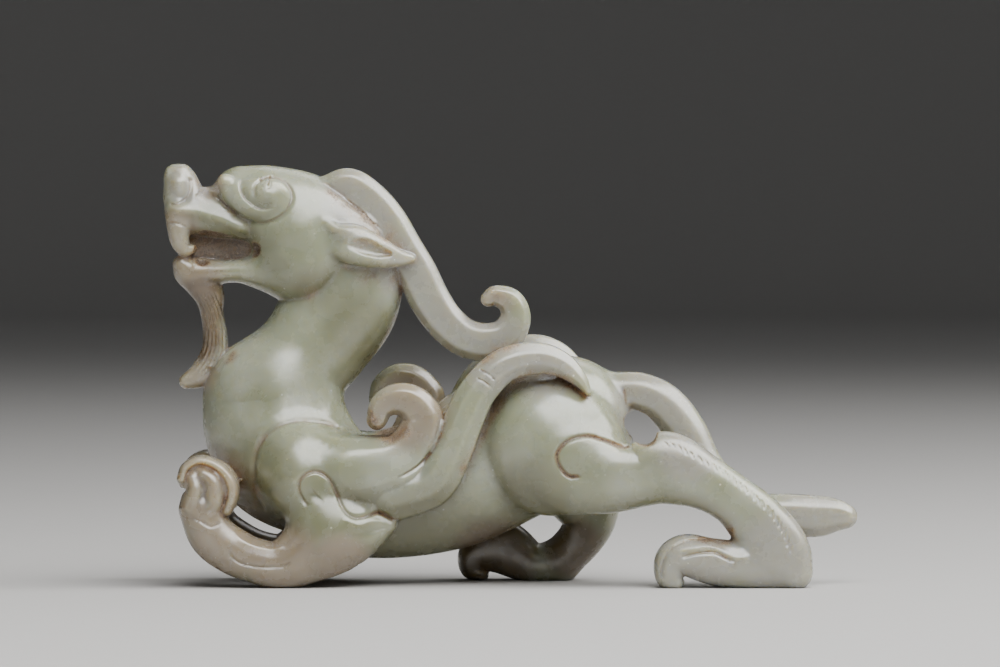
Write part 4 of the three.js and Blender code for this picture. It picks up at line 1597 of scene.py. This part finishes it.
@dataclass(frozen=True)
class JadeFinish:
    """The polished stone's colours, gloss and glow.

    Attributes:
        celadon: The body colour of the stone.
        snow_and_glow: The milky clouds in it, and the painted glow of thin stone.
        olive_and_shade: What it turns to in patches, and the painted shade in hollows, on faces
        that turn down and in the deep patches.
        tan: The tint of the forearm, the beard and the lips.
        grey: The tint of the horn, the tail and the hind paw.
        umber: The tint of the beard and of the deepest lines, and the painted shade on
        the far paws and deep in the mouth.
        crust: The weathered skin where earth has stayed.
        earth: The earth itself, in the skin's pits.
        fleck: The small white spots.
        roughness: How soft the highlights are.
        glow: How far light travels inside the stone, in metres, for red, green and blue.
        index: The stone's index of refraction.
        shine: How strong its highlights are; 0.5 is as strong as the index makes them.
        cloud_size: The milky clouds' size, in metres.
        patch_size: The olive patches' size.
        earth_size: The size of the ragged edges of the earth.
        pit_size: The size of the skin's pits.
        handled_size: The size of the spots that handling has left duller.
        ripple_size: The size of the polish's unevenness.
        mark_size: The length of the marks that polishing has left.
        flecks: For each kind of fleck, how far apart they are, their radius as a share of that,
            and the share of places that have none.
    """

    celadon: tuple = (0.285, 0.305, 0.20)
    snow_and_glow: tuple = (0.39, 0.405, 0.33)
    olive_and_shade: tuple = (0.115, 0.11, 0.042)
    tan: tuple = (0.27, 0.21, 0.155)
    grey: tuple = (0.33, 0.315, 0.285)
    umber: tuple = (0.12, 0.078, 0.042)
    crust: tuple = (0.33, 0.225, 0.13)
    earth: tuple = (0.05, 0.02, 0.006)
    fleck: tuple = (0.85, 0.86, 0.80)
    roughness: float = 0.24
    glow: tuple = (0.0042, 0.0034, 0.0018)
    index: float = 1.61
    shine: float = 0.9
    cloud_size: float = 0.008
    patch_size: float = 0.013
    earth_size: float = 0.0019
    pit_size: float = 0.00032
    handled_size: float = 0.0023
    ripple_size: float = 0.0014
    mark_size: float = 0.0013
    flecks: tuple = ((0.0011, 0.11, 0.72), (0.0020, 0.09, 0.6))

    def material(self) -> bpy.types.Material:
        """Returns the stone's material."""
        g = Graph("jade")
        where = g.node("TexCoord").outputs["Object"]
        body = self.body(g, where)
        pits = g.ramp(g.noise(where, self.pit_size, 2, 0.6), 0.46, 0.6)
        weathered = self.weathered(g, where)
        skin = g.mix(g.ramp(weathered, 0.05, 0.7, 0, 0.85), body, self.crust)
        # The strongest stains turn umber: earth in the deepest lines, and painted shade deep in the
        # mouth.
        skin = g.mix(g.ramp(g.attribute("stain"), 0.55, 1.0, 0, 0.75), skin, self.umber)
        pitted = g.times(pits, g.ramp(weathered, 0.1, 0.6))
        colour = g.mix(g.times(pitted, 0.7), skin, self.earth)
        g.put(g.shader.inputs["Base Color"], colour)
        self.gloss(g, where, pitted)
        return g.material

    def body(self, g: Graph, where: Socket) -> Socket:
        """Mixes the colour of the stone itself, with painted shade and a painted glow laid over it.

        Args:
            g: The material's nodes.
            where: The place on the stone.

        Returns:
            The colour there.
        """
        thin, under, hollow, fold = map(g.attribute, ("thin", "under", "hollow", "fold"))
        tan, grey, umber, deep = (g.attribute(tint.value) for tint in Tint)
        clouds = g.ramp(g.noise(where, self.cloud_size, 3, 0.5), 0.3, 0.72)
        patchy = g.noise(g.shifted(where, 0.03), self.patch_size, 2)
        # Painted shade: olive on faces that turn down, in hollows and in the deep patches.
        depth = g.maths("ADD", g.times(under, 0.5), g.ramp(hollow, 0.3, 1.0, 0, 0.25))
        depth = g.maths("ADD", depth, g.times(deep, 0.4))
        coats = [
            (g.times(clouds, 0.75), self.snow_and_glow),
            (g.ramp(patchy, 0.4, 0.72, 0, 0.3), self.olive_and_shade),
            (g.maths("MINIMUM", depth, 0.8), self.olive_and_shade),
            (g.times(tan, 0.8), self.tan),
            (g.times(grey, 0.75), self.grey),
            # Painted glow: thin stone is made paler, as if light came through it.
            (g.ramp(thin, 0.1, 0.9, 0, 0.3), self.snow_and_glow),
            (g.ramp(fold, 0.05, 0.8, 0, 0.5), self.tan),
            # The beard's brown, and painted shade on the far paws.
            (g.times(umber, 0.85), self.umber),
        ]
        for spacing, reach, rarity in self.flecks:
            spots = g.node("TexVoronoi", {"Vector": where, "Scale": 1 / spacing})
            pick = g.node("SeparateColor", {"Color": spots.outputs["Color"]}).outputs[0]
            some = g.ramp(pick, rarity, 1.0, 0, 0.75)
            spot = g.ramp(spots.outputs["Distance"], reach * 0.3, reach, 1, 0)
            coats.append((g.times(some, spot), self.fleck))
        colour = self.celadon
        for share, coat in coats:
            colour = g.mix(share, colour, coat)
        return colour

    def weathered(self, g: Graph, where: Socket) -> Socket:
        """Returns how much earth has stayed at each place."""
        folds = g.ramp(g.attribute("fold"), 0.3, 1.0, 0, 0.8)
        ragged = g.ramp(g.noise(where, self.earth_size, 4, 0.65), 0.3, 0.7, 0.25, 1.2)
        return g.times(g.maths("MAXIMUM", g.attribute("stain"), folds), ragged)

    def gloss(self, g: Graph, where: Socket, pitted: Socket) -> None:
        """Sets the highlights, the glow and the small unevenness of the polish.

        Args:
            g: The material's nodes.
            where: The place on the stone.
            pitted: How deep in a pit it is, from 0 to 1.
        """
        shader = g.shader.inputs
        handled = g.ramp(g.noise(where, self.handled_size, 4), 0.3, 0.7, self.roughness - 0.04,
                         self.roughness + 0.08)
        g.put(shader["Roughness"], g.maths("ADD", handled, g.times(pitted, 0.35)))
        g.put(shader["IOR"], self.index)
        g.put(shader["Specular IOR Level"], self.shine)
        g.put(shader["Subsurface Weight"], 1.0)
        longest = max(self.glow)
        shader["Subsurface Radius"].default_value = [v / longest for v in self.glow]
        g.put(shader["Subsurface Scale"], longest)
        turned = g.node("Mapping", {"Vector": where, "Rotation": (0.4, 0.9, 0.2),
                                    "Scale": (1, 1, 9)}).outputs[0]
        reliefs = (
            (g.noise(where, self.ripple_size, 4), 0.000014),
            (g.noise(turned, self.mark_size, 2), 0.0000022),
            (g.times(pitted, -1.0), 0.00003),
        )
        below = {}
        for height, distance in reliefs:
            relief = {"Height": height, "Distance": distance, "Strength": 1.0}
            below = {"Normal": g.node("Bump", relief | below).outputs[0]}
        g.put(shader["Normal"], below["Normal"])


# ---------------------------------------------------------------------------------------------
# Studio
# ---------------------------------------------------------------------------------------------

@dataclass(frozen=True)
class SoftLight:
    """A rectangular soft light that looks at the stone.

    Attributes:
        name: Its name.
        place: Where it stands, in metres.
        size: Its width and height, in metres.
        power: Its power, in watts.
        tint: Its colour.
    """

    name: str
    place: tuple
    size: tuple
    power: float
    tint: tuple = (1.0, 1.0, 1.0)

    def build(self) -> None:
        """Adds the light to the scene."""
        data = bpy.data.lights.new(self.name, "AREA")
        data.shape = "RECTANGLE"
        data.size, data.size_y = self.size
        data.energy = self.power
        data.color = self.tint
        light = bpy.data.objects.new(self.name, data)
        light.location = self.place
        towards = Vector((0, 0, 0.025)) - light.location
        light.rotation_euler = towards.to_track_quat("-Z", "Y").to_euler()
        light.visible_camera = False
        bpy.context.scene.collection.objects.link(light)


@dataclass
class Studio:
    """A pale floor that rises all round into a soft wall, three lights, and the camera.

    Attributes:
        flat: The radius of the flat floor, in metres.
        bend: The radius of the turn from floor to wall.
        height: The height of the wall.
        paper: The colour of floor and wall.
        ambient: The strength of the light that comes from everywhere.
        room: The colour of that light.
        lights: The soft lights.
        lens: The camera's focal length, in mm.
        sensor: Its sensor's width, in mm.
        distance: How far it stands from what it looks at, in metres.
        elevation: How far it is raised, in degrees.
        target: What it looks at, in mm.
    """

    flat: float = 1.8
    bend: float = 0.9
    height: float = 2.6
    paper: tuple = (0.47, 0.46, 0.445)
    ambient: float = 0.1
    lights: tuple = (
        SoftLight("overhead", (0.22, -0.19, 0.42), (1.0, 0.42), 9.4),
        SoftLight("front_fill", (-0.6, -0.7, 0.3), (0.3, 0.3), 0.25),
        SoftLight("back_rim", (0.2, 0.6, 0.6), (0.6, 0.3), 0.9),
    )
    room: tuple = (0.93, 0.96, 1.0)
    lens: float = 288
    sensor: float = 36
    distance: float = 1.0
    elevation: float = 1.2
    target: tuple = (-1.25, 0, 31.26)

    def build(self) -> None:
        """Adds everything that isn't the stone."""
        self.sweep()
        self.world()
        for light in self.lights:
            light.build()
        self.camera()

    def sweep(self) -> None:
        """Turns the profile of floor, bend and wall round the stone."""
        profile = [(self.flat * 0.25, 0.0), (self.flat, 0.0)]
        bends, turns = 16, 96
        for i in range(1, bends + 1):
            angle = math.pi / 2 * i / bends
            profile.append(
                (self.flat + self.bend * math.sin(angle), self.bend * (1 - math.cos(angle)))
            )
        profile.append((self.flat + self.bend, self.height))
        points = [
            (r * math.cos(2 * math.pi * t / turns), r * math.sin(2 * math.pi * t / turns), z)
            for r, z in profile for t in range(turns)
        ]
        faces = [tuple(range(turns))]
        for ring in range(len(profile) - 1):
            for t in range(turns):
                a, b = ring * turns + t, ring * turns + (t + 1) % turns
                faces.append((a, a + turns, b + turns, b))
        mesh = bpy.data.meshes.new("floor")
        mesh.from_pydata(points, [], faces)
        mesh.shade_smooth()
        floor = bpy.data.objects.new("floor", mesh)
        bpy.context.scene.collection.objects.link(floor)
        floor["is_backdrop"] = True
        g = Graph("paper")
        grain = g.noise(g.node("TexCoord").outputs["Object"], 0.004, 4)
        darker = tuple(v * 0.96 for v in self.paper)
        g.put(g.shader.inputs["Base Color"], g.mix(grain, darker, self.paper))
        g.put(g.shader.inputs["Roughness"], 0.85)
        mesh.materials.append(g.material)

    def world(self) -> None:
        """Fills the room with an even light."""
        world = bpy.data.worlds.new("studio")
        world.use_nodes = True
        background = world.node_tree.nodes["Background"]
        background.inputs["Color"].default_value = (*self.room, 1)
        background.inputs["Strength"].default_value = self.ambient
        bpy.context.scene.world = world

    def camera(self) -> None:
        """Adds the camera: a long lens, a metre away and barely above the stone."""
        data = bpy.data.cameras.new("camera")
        data.sensor_width, data.lens = self.sensor, self.lens
        data.clip_start, data.clip_end = 0.05, 20
        camera = bpy.data.objects.new("camera", data)
        target = Vector(self.target) * MM
        rise = math.radians(self.elevation)
        camera.location = target + Vector((0, -math.cos(rise), math.sin(rise))) * self.distance
        camera.rotation_euler = (target - camera.location).to_track_quat("-Z", "Y").to_euler()
        bpy.context.scene.collection.objects.link(camera)
        bpy.context.scene.camera = camera


def main() -> None:
    """Builds the stone and the studio in order."""
    logging.basicConfig(level=logging.INFO, format="%(relativeCreated)6d ms %(message)s")
    cad_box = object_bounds()
    stone = Carving(FINE_CELL).build()
    LOG.info("stone: %d triangles", len(stone.data.polygons))
    stone.data.materials.append(JadeFinish().material())
    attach(stone, "root")
    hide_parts(NODE)
    Studio().build()
    boxes = {"cad": cad_box, "visual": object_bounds()}
    {name: [list(corner) for corner in box] for name, box in boxes.items()}


if __name__ == "__main__":
    main()
